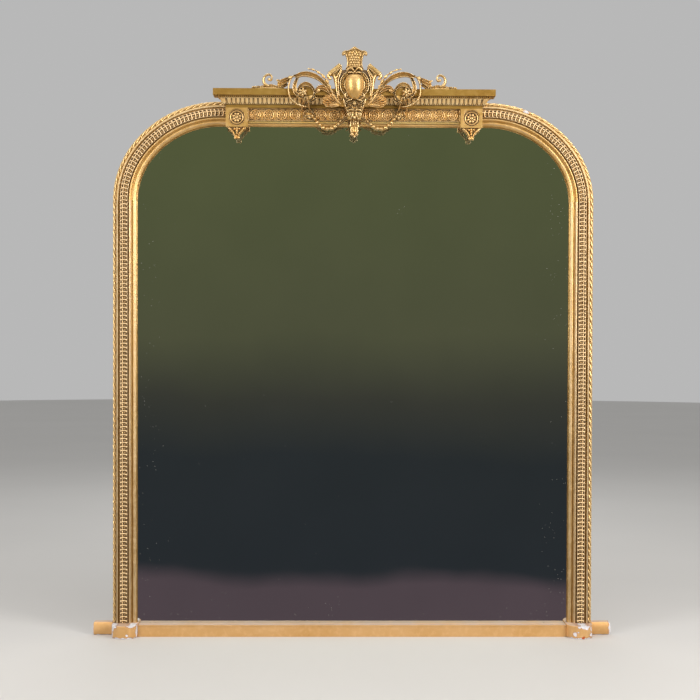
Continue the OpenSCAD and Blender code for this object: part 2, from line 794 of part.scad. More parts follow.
module dentil_course() {
    front = dentil_p + dentil_t;
    half = return_x + front;
    count = floor(2 * half / dentil_pitch / 2) * 2;
    pitch = 2 * half / count;
    side_count = floor((front - top_rail_p) / dentil_pitch);
    color(gold) difference() {
        mitred([[front, dentil_z], [front, fascia_z]]);
        mitred(core_line);
        translate([-dentil_p - return_x, -dentil_p, dentil_z - 1])
            cube([2 * (dentil_p + return_x), dentil_p + 1, dentil_h + 2]);
        for (i = [1 : count - 1]) translate([-half + i * pitch - pitch / 4, -front - 1, dentil_z - 1])
            cube([pitch / 2, dentil_t - 0.2, dentil_h]);
        for (i = [1 : side_count]) translate([-half - 1, -front + i * dentil_pitch, dentil_z - 1])
            cube([2 * half + 2, dentil_pitch / 2, dentil_h]);
    }
}

module tongue_course() {
    half = return_x + tongue_foot_p;
    count = round(2 * half / tongue_pitch);
    pitch = 2 * half / count;
    tilt = atan(tongue_lean / tongue_h);
    color(gold) difference() {
        union() {
            mitred([[tongue_foot_p + 1.5, tongue_z], [tongue_foot_p + tongue_lean + 1.5, dentil_z]]);
            for (i = [0 : count - 1])
                translate([-half + (i + 0.5) * pitch, -tongue_foot_p - 0.5, tongue_z + 5])
                    rotate([tilt, 0, 0]) {
                        sphere(pitch * 0.36, $fn = 32);
                        cylinder(r = pitch * 0.36, h = tongue_h, $fn = 32);
                    }
        }
        mitred(core_line);
        translate([-frame_w / 2, -200, dentil_z]) cube([frame_w, 200, 40]);
        translate([-frame_w / 2, -top_rail_p, tongue_z - 10]) cube([frame_w, 200, 60]);
        translate([-half - 0.01, -tongue_foot_p, tongue_z - 10]) cube([2 * half + 0.02, 200, 60]);
    }
}

// ---- Crest. Its points are measured from the middle of the cornice's top edge ----
module on_cornice() { translate([0, 0, cornice_z]) children(); }
frieze_drop = cornice_z - frieze_z;
foot_drop = cornice_z - frieze_top_z;

// The pine board behind the cartouche, standing on the cornice
module crest_board() {
    half = [[52, 0], [56, 15], [64, 38], [40, 55], [24, 58], [19, 68], [19, 88], [28, 102]];
    tip = [[0, finial_rise - 7]];
    color(pine) on_cornice() slab(crest_p - crest_board_t, crest_p)
        polygon(concat(half, tip, [for (i = [len(half) - 1 : -1 : 0]) [-half[i][0], half[i][1]]]));
}

// The board below it, in front of the cornice's enriched courses and the frieze
module crest_apron() {
    wide = 90;
    color(deep_gold) intersection() {
        on_cornice() slab(0, crest_p) polygon([[-wide, -fascia_h], [wide, -fascia_h], [wide, -36],
            [40, -foot_drop], [apron_x, -foot_drop], [apron_x, -frieze_drop], [-apron_x, -frieze_drop],
            [-apron_x, -foot_drop], [-40, -foot_drop], [-wide, -36]]);
        translate([-wide, 0, 0]) rotate([90, 0, 90]) linear_extrude(2 * wide) mirror([1, 0])
            polygon([[frieze_p, frieze_z], [crest_p, frieze_z], [crest_p, fascia_z],
                [dentil_p + dentil_t, fascia_z], [dentil_p + dentil_t, frieze_top_z],
                [frieze_p, frieze_top_z]]);
    }
}

module cartouche_rim() {
    color(gold) translate([0, -crest_p, cartouche_z]) rotate([90, 0, 0]) {
        difference() {
            cylinder(r = cartouche_r, h = 8, $fn = 96);
            translate([0, 0, 5]) cylinder(r = cartouche_r - rim_w, h = 4, $fn = 96);
        }
        rotate_extrude($fn = 96) translate([cartouche_r - 2.1, 8]) circle(2.1, $fn = 24);
    }
}

module cartouche_pearls() {
    ring = cartouche_r - rim_w / 2 - 2.1;
    count = round(ring * 2 * PI / 6.4);
    color(gold) translate([0, -crest_p - 8, cartouche_z]) rotate([90, 0, 0])
        for (i = [0 : count - 1]) rotate(i * 360 / count) translate([ring, 0, 0]) intersection() {
            sphere(1.9, $fn = 24);
            translate([-3, -3, 0]) cube(6);
        }
}

module cartouche_boss() {
    h2 = boss_h * boss_h;
    r = (h2 + boss_w * boss_w) / (2 * boss_w);
    color(gold) difference() {
        translate([0, -crest_p - 5, cartouche_z]) rotate_extrude($fn = 96) intersection() {
            translate([boss_w - r, 0]) circle(r, $fn = 96);
            translate([0, -boss_h]) square([boss_w, 2 * boss_h]);
        }
        translate([-100, -crest_p - 5, cartouche_z - 100]) cube(200);
    }
}

// Strapwork that rises beside the cartouche and rolls over at its top
module strap() {
    roll = [[-83, 46], [-40, 69]];
    roll_r = 7.5;
    d = roll[1] - roll[0];
    color(gold) on_cornice() {
        slab(crest_p, crest_p + 8) polygon([[-53, -19], [-47, -19], [-49, 0], [-49, 22], [-45, 40],
            [-41, 66], [-80, 46], [-68, 28], [-63, 12], [-59, -4]]);
        translate([roll[0][0], -crest_p - roll_r, roll[0][1]]) rotate([0, 90 - atan2(d[1], d[0]), 0])
            cylinder(r = roll_r, h = norm(d));
        rib(smooth([[-66, 48], [-58, 20], [-53, -4], [-50, -18]], 4), crest_p + 8, [16, 7, 4], [6, 4, 2]);
    }
}

// Palmette with a pair of volutes, which crowns the cartouche
module finial_palmette() {
    volute_r = 8;
    half = [[27, 61], [24, 72], [23, 88], [29, 97], [34, 113], [16, 116]];
    color(gold) on_cornice() {
        slab(crest_p, crest_p + 8) {
            polygon(concat(half, [[0, finial_rise]],
                [for (i = [len(half) - 1 : -1 : 0]) [-half[i][0], half[i][1]]]));
            for (k = [-1, 1]) translate([k * 35, 105]) circle(volute_r);
        }
        for (k = [-1, 1]) {
            translate([k * 36, -crest_p - 8, 104]) sphere(5, $fn = 24);
            rib(smooth([[k * 6, 62], [k * 12, 84], [k * 22, 104], [k * 33, 111]], 3),
                crest_p + 8, [5, 9, 5], [3, 5, 3]);
        }
        rib(smooth([[0, 62], [0, 90], [0, finial_rise - 2]], 4), crest_p + 8, [6, 13, 3], [3, 7, 3]);
    }
}

// Palmette with two eyes, on the apron under the cartouche
module mask_palmette() {
    color(gold) on_cornice() {
        slab(crest_p, crest_p + 5) polygon([[-20, -50], [20, -50], [22, -70], [18, -86],
            [8, -frieze_drop], [-8, -frieze_drop], [-18, -86], [-22, -70]]);
        for (k = [-1, 1]) {
            translate([k * 13, -crest_p - 5, -76]) rotate([90, 0, 0]) rotate_extrude()
                translate([5.5, 0]) circle(2.6, $fn = 24);
            rib(smooth([[k * 4, -60], [k * 12, -47], [k * 23, -40], [k * 26, -32]], 3),
                crest_p, [6, 8, 4], [10, 12, 6]);
        }
        rib(smooth([[0, -52], [0, -70], [0, -frieze_drop + 2]], 4), crest_p + 5, [14, 9, 5], [6, 8, 3]);
    }
}

// Two-stage bellflower that hangs from the apron in front of the glass
module centre_drop() {
    p = frieze_p + 20;
    color(gold) translate([0, 0, frieze_z]) {
        slab(p, p + 8) polygon([[-13, 0], [13, 0], [15, -7], [25, -13], [14, -22], [13, -36], [10, -47],
            [0, -53], [-10, -47], [-13, -36], [-14, -22], [-25, -13], [-15, -7]]);
        translate([0, -p - 8, 0]) {
            translate([0, 0, -22]) cylinder(r1 = 10, r2 = 5, h = 22);
            translate([0, 0, -46]) cylinder(r1 = 9, r2 = 4, h = 24);
        }
    }
}

// A stem that rises from the apron and forks at its top into an outer rim and an inner band. The band
// runs into a ring round the flower, and two prongs lead down from the ring to the rim's end.
scroll_mid = [-scroll_x, -14];
module scroll() {
    top = [-scroll_x - 35, scroll_r - 15];
    left = -scroll_x - scroll_r;
    foot = [-scroll_x - 7, -scroll_r - 1];
    eye_r = scroll_eye_r + 3;
    stem = smooth([[-70, -19], [-81, -1], [-97, 21], [-118, 35], [-scroll_x + 6, 42], [-scroll_x - 13, 41], top], 3);
    rim = smooth([top, [left + 8, 31], [left + 2, 14], [left, -5], [left + 4, -24], [left + 14, -38],
        [left + 29, -48], foot], 3);
    band = smooth([top, [left + 20, 14], [left + 18, -3], [left + 22, -17], [left + 33, -27],
        scroll_mid + eye_r * [cos(245), sin(245)]], 3);
    color(gold) on_cornice() {
        rib(stem, crest_p, [scroll_w, 1.5 * scroll_w, scroll_w], [0.8, 1, 0.9] * carving_t);
        rib(rim, crest_p, [0.7, 0.6, 0.5] * scroll_w, [0.8, 0.7, 0.6] * carving_t);
        rib(band, crest_p, [1, 1.2, 0.7] * scroll_w, [0.7, 0.6, 0.5] * carving_t);
        rib(arc(scroll_mid, eye_r, 200, -80, 20), crest_p, [0.7, 1.3, 0.7] * scroll_w,
            [0.7, 0.8, 0.6] * carving_t);
        for (x = [-2, 3]) rib([scroll_mid + [x, 1 - eye_r], foot + [3 * x + 3, 7], foot + [4 * x, -4]],
            crest_p, [0.7, 0.6, 0.5] * scroll_w, [0.5, 0.6, 0.5] * carving_t);
        translate([left + 4, -crest_p - 5, 31]) sphere(6.5, $fn = 24);
    }
}

module scroll_flower() {
    petal_r = 5.6;
    color(gold) on_cornice() translate([scroll_mid[0], -crest_p, scroll_mid[1]]) rotate([90, 0, 0]) {
        cylinder(r = 10, h = 4);
        for (i = [0 : 5]) rotate(i * 60 + 30) translate([8.5, 0, petal_r + 0.3]) sphere(petal_r, $fn = 24);
        translate([0, 0, 8]) sphere(5, $fn = 24);
    }
}

module husk_chain() {
    color(gold) on_cornice() rib(smooth([[-138, 58], [-123, 56], [-106, 48], [-90, 36], [-78, 20],
        [-70, 3], [-64, -14]], 5), crest_p, [7, 9, 5], [6, 8, 5], beads = 6);
}

module fan_leaf() {
    root = [-43, -50];
    tips = [[-88, -28], [-95, -34], [-88, -43], [-70, -50]];
    color(gold) on_cornice() {
        slab(crest_p, crest_p + 4) polygon([[-41, -46], root, [-42, -55], [-74, -53], [-92, -44],
            [-98, -34], [-92, -26], [-60, -26], [-47, -36]]);
        for (t = tips)
            rib([root, root + 0.35 * (t - root), root + 0.7 * (t - root), t], crest_p + 4,
                [4, 8, 3], [3, 5, 2]);
    }
}

// A bell-shaped flower on the frieze below each scroll
module bellflower() {
    x = -scroll_x + 10;
    color(gold) difference() {
        translate([x, -frieze_p, frieze_z]) rotate_extrude()
            polygon([[0, 0], [9, 2], [14, 4], [12, 12], [7, 20], [6, 26],
                [3, frieze_h - 4], [0, frieze_h - 4]]);
        translate([x - 50, -frieze_p, frieze_z - 1]) cube([100, 100, 100]);
    }
}

module garland() {
    color(gold) on_cornice() rib(smooth([[-115, -82], [-104, -102], [-82, -116], [-56, -108],
        [-40, -86]], 7), frieze_p, [7, 13, 7], [7, 11, 7], beads = 7);
}

// Curl at each end of the crest, with its leaves along the cornice's top
module cornice_curl() {
    p = crest_p - 17;
    leaf_t = 12;
    eye = [-curl_x - 2, 27];
    color(gold) on_cornice() {
        slab(p, p + leaf_t) translate([-curl_x, 0]) {
            polygon([[-52, 0], [-40, 5], [-26, 9], [-10, 7], [20, 4], [32, 0]]);
            polygon([[34, 0], [38, 12], [29, 21], [46, 25], [57, 24], [57, 0]]);
        }
        rib(concat(smooth([[-curl_x + 44, 8.5], [-curl_x + 28, 7.5], [-curl_x + 8, 10],
                [-curl_x - 8, 7.5]], 4),
            volute(eye, curl_r, 5.5, 232, -190, 20)), p + 4, [5, 7, 4], [7, 9, 6]);
        translate([eye[0] + 2.5, -p - 7, eye[1] + 0.5]) sphere(5.7, $fn = 24);
    }
}

mirror_plate();
glazing_blocks();
backboards();
backboard_nails();
joint_dowels();
hanging_plates();
hanging_screws();
stile();  // stile_left
on_right() stile();  // stile_right
arch();  // arch_left
on_right() arch();  // arch_right
top_rail();
rope_stile();  // rope_stile_left
on_right() rope_stile();  // rope_stile_right
rope_arch();  // rope_arch_left
on_right() rope_arch();  // rope_arch_right
pearl_stile();  // pearl_stile_left
on_right() pearl_stile();  // pearl_stile_right
pearl_arch();  // pearl_arch_left
on_right() pearl_arch();  // pearl_arch_right
plinth_rail();
plinth_block();  // plinth_block_left
on_right() plinth_block();  // plinth_block_right
plinth_ear();  // plinth_ear_left
on_right() plinth_ear();  // plinth_ear_right
corner_block();  // corner_block_left
on_right() corner_block();  // corner_block_right
patera();  // patera_left
on_right() patera();  // patera_right
block_drop();  // block_drop_left
on_right() block_drop();  // block_drop_right
frieze_panel();
cornice();
dentil_course();
tongue_course();
crest_board();
crest_apron();
cartouche_rim();
cartouche_pearls();
cartouche_boss();
strap();  // strap_left
on_right() strap();  // strap_right
finial_palmette();
mask_palmette();
centre_drop();
scroll();  // scroll_left
on_right() scroll();  // scroll_right
scroll_flower();  // scroll_flower_left
on_right() scroll_flower();  // scroll_flower_right
husk_chain();  // husk_chain_left
on_right() husk_chain();  // husk_chain_right
fan_leaf();  // fan_leaf_left
on_right() fan_leaf();  // fan_leaf_right
bellflower();  // bellflower_left
on_right() bellflower();  // bellflower_right
garland();  // garland_left
on_right() garland();  // garland_right
cornice_curl();  // cornice_curl_left
on_right() cornice_curl();  // cornice_curl_right
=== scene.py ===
import math

import bmesh
import bpy
import numpy as np
from mathutils import Matrix, Vector, noise


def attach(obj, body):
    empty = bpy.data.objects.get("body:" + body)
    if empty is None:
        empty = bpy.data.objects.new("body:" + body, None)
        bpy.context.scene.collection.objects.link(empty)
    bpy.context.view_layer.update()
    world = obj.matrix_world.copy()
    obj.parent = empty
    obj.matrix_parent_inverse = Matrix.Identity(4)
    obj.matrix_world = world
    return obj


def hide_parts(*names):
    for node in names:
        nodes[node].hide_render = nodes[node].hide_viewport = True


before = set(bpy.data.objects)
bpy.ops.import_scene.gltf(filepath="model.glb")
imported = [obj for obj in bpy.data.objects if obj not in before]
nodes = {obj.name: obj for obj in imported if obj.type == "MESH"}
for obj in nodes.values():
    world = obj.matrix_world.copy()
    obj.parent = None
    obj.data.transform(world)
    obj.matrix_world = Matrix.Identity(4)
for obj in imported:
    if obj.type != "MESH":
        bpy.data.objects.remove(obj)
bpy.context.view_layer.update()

MM = 0.001

# Sizes that the ornament shares with the model, in millimetres. p is a distance in front of the wall,
# and s a distance in from the frame's outer edge.
FRAME_W, FRAME_H = 1480, 1645
BLOCK_H = 40
SPRING_Z, SIDE_R, TOP_R = 1341, 280, 340
SIDE_X, TOP_X, TOP_Z = 460, 412, 1305
ARCH_END_X = 391
ARCH_TURN = math.degrees(math.atan2(4, 3))
ROPE_W, ROPE_SEAT_P, ROPE_AXIS_P = 12, 28, 31
BAND_S, BAND_W, BAND_SEAT_P = 24, 22, 42
FRIEZE_X, FRIEZE_Z, FRIEZE_H, FRIEZE_P, FIELD_P = 324, 1582, 38, 66, 62
CORNER_X, CORNER_P, PATERA_Z = 357.5, 78, 1591
FOOT_P, TONGUE_Z, TONGUE_H, TONGUE_P, TONGUE_LEAN = 75, 1630, 18, 80, 10
DENTIL_Z, DENTIL_H, DENTIL_P, DENTIL_T = 1648, 5.5, 93, 4
CREST_P, CARTOUCHE_Z = 111, 1685.5
RETURN_X = ARCH_END_X - FOOT_P
FLOWER = (-146.5, 1659.0)
SIDES = (("left", -1), ("right", 1))


# ---- Camera ----
# Solved from the frame's own outline: the place in millimetres, and the yaw, pitch and roll in degrees
CAMERA_PLACE = (-67.3, -4200, 951.1)
CAMERA_TURN = (0.785, 0.935, 0.174)
LENS, SENSOR_W = 69.49, 36


def linked(name, data):
    """A new object of that data, in the scene."""
    obj = bpy.data.objects.new(name, data)
    bpy.context.scene.collection.objects.link(obj)
    return obj


def make_camera():
    """The photograph's view, from 4.2 m away: left of the middle, and turned a little to the right."""
    data = bpy.data.cameras.new("camera")
    data.sensor_width, data.lens = SENSOR_W, LENS
    data.clip_start, data.clip_end = 0.05, 100
    cam = linked("camera", data)
    yaw, pitch, roll = (math.radians(a) for a in CAMERA_TURN)
    ahead = Vector((math.sin(yaw) * math.cos(pitch), math.cos(yaw) * math.cos(pitch), -math.sin(pitch)))
    turn = ahead.to_track_quat("-Z", "Y").to_matrix().to_4x4() @ Matrix.Rotation(roll, 4, "Z")
    cam.matrix_world = Matrix.Translation([v * MM for v in CAMERA_PLACE]) @ turn
    bpy.context.scene.camera = cam


# ---- Meshes: every shape is a pair of a point array in millimetres (x, p, z) and a list of faces ----
def join(*shapes):
    """One shape from several."""
    points, faces, start = [], [], 0
    for pts, fcs in shapes:
        points.append(np.asarray(pts, float))
        faces += [tuple(i + start for i in f) for f in fcs]
        start += len(pts)
    return np.vstack(points), faces


def mirrored(shape):
    """The same shape on the other side of the frame's middle."""
    pts, faces = shape
    pts = np.array(pts, float)
    pts[:, 0] *= -1
    return pts, [tuple(reversed(f)) for f in faces]


def moved(shape, x=0.0, p=0.0, z=0.0):
    """The same shape, shifted."""
    return np.asarray(shape[0], float) + (x, p, z), shape[1]


def spun(shape, degrees, centre):
    """Turned in the plane of the front, about a point in x and z."""
    a = math.radians(degrees)
    pts = np.array(shape[0], float)
    dx, dz = pts[:, 0] - centre[0], pts[:, 2] - centre[1]
    pts[:, 0] = centre[0] + dx * math.cos(a) - dz * math.sin(a)
    pts[:, 2] = centre[1] + dx * math.sin(a) + dz * math.cos(a)
    return pts, shape[1]


def grid_faces(rows, cols, closed=False):
    """The faces of rows of cols points, where each row may close on itself."""
    wrap = cols if closed else cols - 1
    return [(i * cols + j, i * cols + (j + 1) % cols, (i + 1) * cols + (j + 1) % cols, (i + 1) * cols + j)
            for i in range(rows - 1) for j in range(wrap)]


def tube_faces(rows, cols, flip=False):
    """The faces of a closed tube of rows, with a cap on each end. flip turns the caps over."""
    first, last = tuple(range(cols)), tuple(range((rows - 1) * cols, rows * cols))
    caps = [first[::-1], last] if flip else [first, last[::-1]]
    return grid_faces(rows, cols, closed=True) + caps


def sheet(front, back):
    """A closed sheet from rows of points on its face and the same rows on its back; each is x, p and z."""
    front, back = (np.stack(np.broadcast_arrays(*side), axis=2) for side in (front, back))
    rows, cols = front.shape[:2]
    return np.concatenate([front, back[:, ::-1]], axis=1).reshape(-1, 3), tube_faces(rows, 2 * cols)


def smooth_rows(rows, steps):
    """A smooth curve through rows of any numbers, steps to each span."""
    r = np.asarray(rows, float)
    out = []
    for i in range(len(r) - 1):
        a, b, c, d = r[max(i - 1, 0)], r[i], r[i + 1], r[min(i + 2, len(r) - 1)]
        for k in range(steps):
            t = k / steps
            out.append(0.5 * (2 * b + (c - a) * t + (2 * a - 5 * b + 4 * c - d) * t ** 2
                              + (3 * b - a - 3 * c + d) * t ** 3))
    out.append(r[-1])
    return np.array(out)


DOME = np.array([(-1, 0), (-0.97, 0.3), (-0.8, 0.66), (-0.45, 0.92), (0, 1), (0.45, 0.92), (0.8, 0.66),
                 (0.97, 0.3), (1, 0)])
# A ribbon with a raised edge on each side and a hollow between them
CHANNEL = np.array([(-1, 0), (-1, 0.8), (-0.88, 1), (-0.7, 0.95), (-0.5, 0.55), (0, 0.4), (0.5, 0.55),
                    (0.7, 0.95), (0.88, 1), (1, 0.8), (1, 0)])
# A leaf with a raised rib along its middle and edges that lift
LEAF = np.array([(-1, 0), (-1, 0.55), (-0.92, 0.72), (-0.7, 0.5), (-0.35, 0.42), (-0.15, 0.7), (0, 1),
                 (0.15, 0.7), (0.35, 0.42), (0.7, 0.5), (0.92, 0.72), (1, 0.55), (1, 0)])


def rib(rows, section=DOME, steps=6, flutes=0, lobes=0.0, lobe_n=0):
    """A carved rib along rows of x, z, p, width and height. Flutes ridge it, and lobes notch its edges."""
    r = smooth_rows(rows, steps)
    ahead = np.gradient(r[:, [0, 1]], axis=0)
    ahead /= np.maximum(np.linalg.norm(ahead, axis=1), 1e-9)[:, None]
    side = np.column_stack([-ahead[:, 1], ahead[:, 0]])
    run = lengths_along(r)
    t = run / max(run[-1], 1e-9)
    wide, high = r[:, 3] / 2, r[:, 4].copy()
    if lobe_n:
        wide = wide * (1 - lobes + lobes * np.abs(np.sin(math.pi * lobe_n * t)) ** 0.6)
    if flutes:
        high = high * (0.86 + 0.14 * np.cos(2 * math.pi * flutes * t))
    across = wide[:, None] * section[:, 0]
    pts = np.stack([r[:, None, 0] + side[:, None, 0] * across, r[:, None, 2] + high[:, None] * section[:, 1],
                    r[:, None, 1] + side[:, None, 1] * across], axis=2)
    return pts.reshape(-1, 3), tube_faces(len(r), len(section))


def lengths_along(path):
    """The distance along a path, at each of its rows, in x and z."""
    return np.concatenate([[0], np.cumsum(np.linalg.norm(np.diff(path[:, :2], axis=0), axis=1))])


def lathe(profile, centre, axis=(0, 1, 0), n=20):
    """A profile of rows (along, radius), turned about an axis through centre. Vectors are in x, p and z."""
    ax, c = Vector(axis).normalized(), Vector(centre)
    u = ax.orthogonal().normalized()
    v = ax.cross(u)
    pts = []
    for along, radius in profile:
        for j in range(n):
            a = 2 * math.pi * j / n
            pts.append(c + ax * along + (u * math.cos(a) + v * math.sin(a)) * max(radius, 0.01))
    return np.array([tuple(q) for q in pts]), tube_faces(len(profile), n, flip=True)


def ball(centre, radii, n=14):
    """An ellipsoid; radii are in x, p and z."""
    m = max(n // 2, 5)
    pts = []
    for i in range(m + 1):
        tilt = math.pi * i / m
        for j in range(n):
            turn = 2 * math.pi * j / n
            way = (math.sin(tilt) * math.cos(turn), math.sin(tilt) * math.sin(turn), math.cos(tilt))
            pts.append([c + r * w for c, r, w in zip(centre, radii, way)])
    return np.array(pts), grid_faces(m + 1, n, closed=True)


def torus(centre, r, tube, n=48, k=12, squash=1.0, z_scale=1.0):
    """A ring that lies in the plane of the front."""
    pts = []
    for i in range(n):
        a = 2 * math.pi * i / n
        for j in range(k):
            b = 2 * math.pi * j / k
            rr = r + tube * math.cos(b)
            pts.append((centre[0] + rr * math.cos(a), centre[1] + tube * squash * math.sin(b),
                        centre[2] + rr * math.sin(a) * z_scale))
    faces = [(i * k + j, i * k + (j + 1) % k, ((i + 1) % n) * k + (j + 1) % k, ((i + 1) % n) * k + j)
             for i in range(n) for j in range(k)]
    return np.array(pts), faces


def plate(outline, p0, p1, bevel=0.0):
    """An outline in x and z, from p0 out to p1, with a bevelled front edge."""
    o = np.asarray(outline, float)
    area = np.sum(o[:, 0] * np.roll(o[:, 1], -1) - np.roll(o[:, 0], -1) * o[:, 1])
    if area < 0:
        o = o[::-1]
    layers = [(o, p0), (o, p1)]
    if bevel:
        d = np.roll(o, -1, axis=0) - np.roll(o, 1, axis=0)
        d /= np.maximum(np.linalg.norm(d, axis=1), 1e-9)[:, None]
        inward = np.column_stack([-d[:, 1], d[:, 0]])
        layers[1:] = [(o, p1 - bevel), (o + inward * bevel, p1)]
    pts = np.vstack([np.column_stack([q[:, 0], np.full(len(o), p), q[:, 1]]) for q, p in layers])
    return pts, tube_faces(len(layers), len(o), flip=True)


def box(x0, x1, p0, p1, z0, z1, bevel=0.2):
    """A small block with its front edges bevelled."""
    return plate([(x0, z0), (x1, z0), (x1, z1), (x0, z1)], p0, p1, bevel)


def smooth_shaded(mesh):
    """Shades every face of a mesh smooth."""
    mesh.polygons.foreach_set("use_smooth", [True] * len(mesh.polygons))


def new_object(name, shape, smooth=True):
    """An object of a shape, in the part's frame and in metres."""
    pts, faces = shape
    mesh = bpy.data.meshes.new(name)
    world = np.column_stack([pts[:, 0], -pts[:, 1], pts[:, 2]]) * MM
    mesh.from_pydata([tuple(v) for v in world], [], faces)
    bm = bmesh.new()
    bm.from_mesh(mesh)
    bmesh.ops.remove_doubles(bm, verts=bm.verts, dist=2e-6)
    bmesh.ops.recalc_face_normals(bm, faces=bm.faces)
    bm.to_mesh(mesh)
    bm.free()
    if smooth:
        smooth_shaded(mesh)
    return linked(name, mesh)


def melt(obj, voxel, soften):
    """Melts what overlaps into one mass, softens its edges and bakes that into the object's mesh."""
    remesh = obj.modifiers.new("melt", "REMESH")
    remesh.mode, remesh.voxel_size = "VOXEL", voxel * MM
    soft = obj.modifiers.new("soften", "SMOOTH")
    soft.factor, soft.iterations = 0.5, soften
    bpy.context.view_layer.update()
    dg = bpy.context.evaluated_depsgraph_get()
    mesh = bpy.data.meshes.new_from_object(obj.evaluated_get(dg))
    obj.modifiers.clear()
    old = obj.data
    obj.data = mesh
    bpy.data.meshes.remove(old)
    mesh.name = obj.name
    smooth_shaded(mesh)


def read_points(mesh):
    """A mesh's points and their normals, as arrays."""
    n = len(mesh.vertices)
    co, nor = np.empty(n * 3), np.empty(n * 3)
    mesh.vertices.foreach_get("co", co)
    mesh.vertices.foreach_get("normal", nor)
    return co.reshape(-1, 3), nor.reshape(-1, 3)


def store(mesh, name, values):
    """Keeps one value for each point, for the materials to read."""
    attribute = mesh.attributes.new(name, "FLOAT", "POINT")
    attribute.data.foreach_set("value", values.astype(np.float32))


def tool_marks(obj, amount, scale, seed=0.0):
    """Moves a mesh's points along their normals by a soft noise, as hand work leaves a surface."""
    co, nor = read_points(obj.data)
    off = Vector((seed, seed * 1.7, -seed))
    d = np.array([noise.noise(Vector(c) * scale + off) for c in co]) * amount * MM
    obj.data.vertices.foreach_set("co", (co + nor * d[:, None]).ravel())
    obj.data.update()


def store_hollows_and_ridges(obj, reach, depth):
    """Stores how far each point lies under or over the smoothed surface about it, as hollow and ridge
    from 0 to 1. reach counts the rounds of smoothing, and depth is the height in millimetres of a 1."""
    mesh = obj.data
    n = len(mesh.vertices)
    co, nor = read_points(mesh)
    co = co / MM
    ends = np.empty(len(mesh.edges) * 2, int)
    mesh.edges.foreach_get("vertices", ends)
    ends = ends.reshape(-1, 2)
    a, b = np.concatenate([ends, ends[:, ::-1]]).T
    count = np.maximum(np.bincount(a, minlength=n), 1)[:, None]
    flat = co
    for _ in range(reach):
        flat = np.stack([np.bincount(a, weights=flat[b, i], minlength=n) for i in range(3)], axis=1) / count
    sunk = np.einsum("ij,ij->i", flat - co, nor) / depth
    for name, value in (("hollow", sunk), ("ridge", -sunk)):
        store(mesh, name, np.clip(value, 0, 1))


def finish_piece(obj, material, slot, *replaced):
    """Gives a piece its material, and says which of the model's nodes it stands for by hiding them. slot is
    not used.
    """
    obj.data.materials.clear()
    obj.data.materials.append(material)
    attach(obj, "root")
    if replaced:
        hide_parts(*replaced)
    return obj


# What the carving is made of, how fine its tool marks are, and how far its hollows and ridges reach
COMPOSITION = "gilded_composition"
MARK_SCALE, HOLLOW_REACH = 260, 8


def ornament(name, shape, material, *replaced, marks=None, worn=None):
    """A piece that keeps its exact mesh. marks are tool_marks' amount, scale and seed, and worn is the reach
    and depth of its hollows and ridges, which the gold gives grime with painted shade, and wear with painted
    highlight."""
    obj = new_object(name, shape)
    if marks:
        tool_marks(obj, *marks)
    if worn:
        store_hollows_and_ridges(obj, *worn)
    return finish_piece(obj, material, COMPOSITION, *replaced)


def carve(name, shape, material, *replaced, voxel=0.8, marks=0.12, seed=0.0, depth=0.55):
    """Melts overlapping closed shapes into one carved mass with faint tool marks."""
    obj = new_object(name, shape)
    melt(obj, voxel, soften=1)
    tool_marks(obj, marks, MARK_SCALE, seed)
    store_hollows_and_ridges(obj, HOLLOW_REACH, depth)
    return finish_piece(obj, material, COMPOSITION, *replaced)


def carve_pair(name, shape, material, *replaced, right_seed=None, **settings):
    """Carves a shape on the left and its mirror image on the right."""
    carve(f"{name}_left", shape, material, *(f"{node}_left" for node in replaced), **settings)
    if right_seed is not None:
        settings["seed"] = right_seed
    carve(f"{name}_right", mirrored(shape), material, *(f"{node}_right" for node in replaced), **settings)


# ---- Materials ----
SURFACE = ("Base Color", "Metallic", "Roughness")


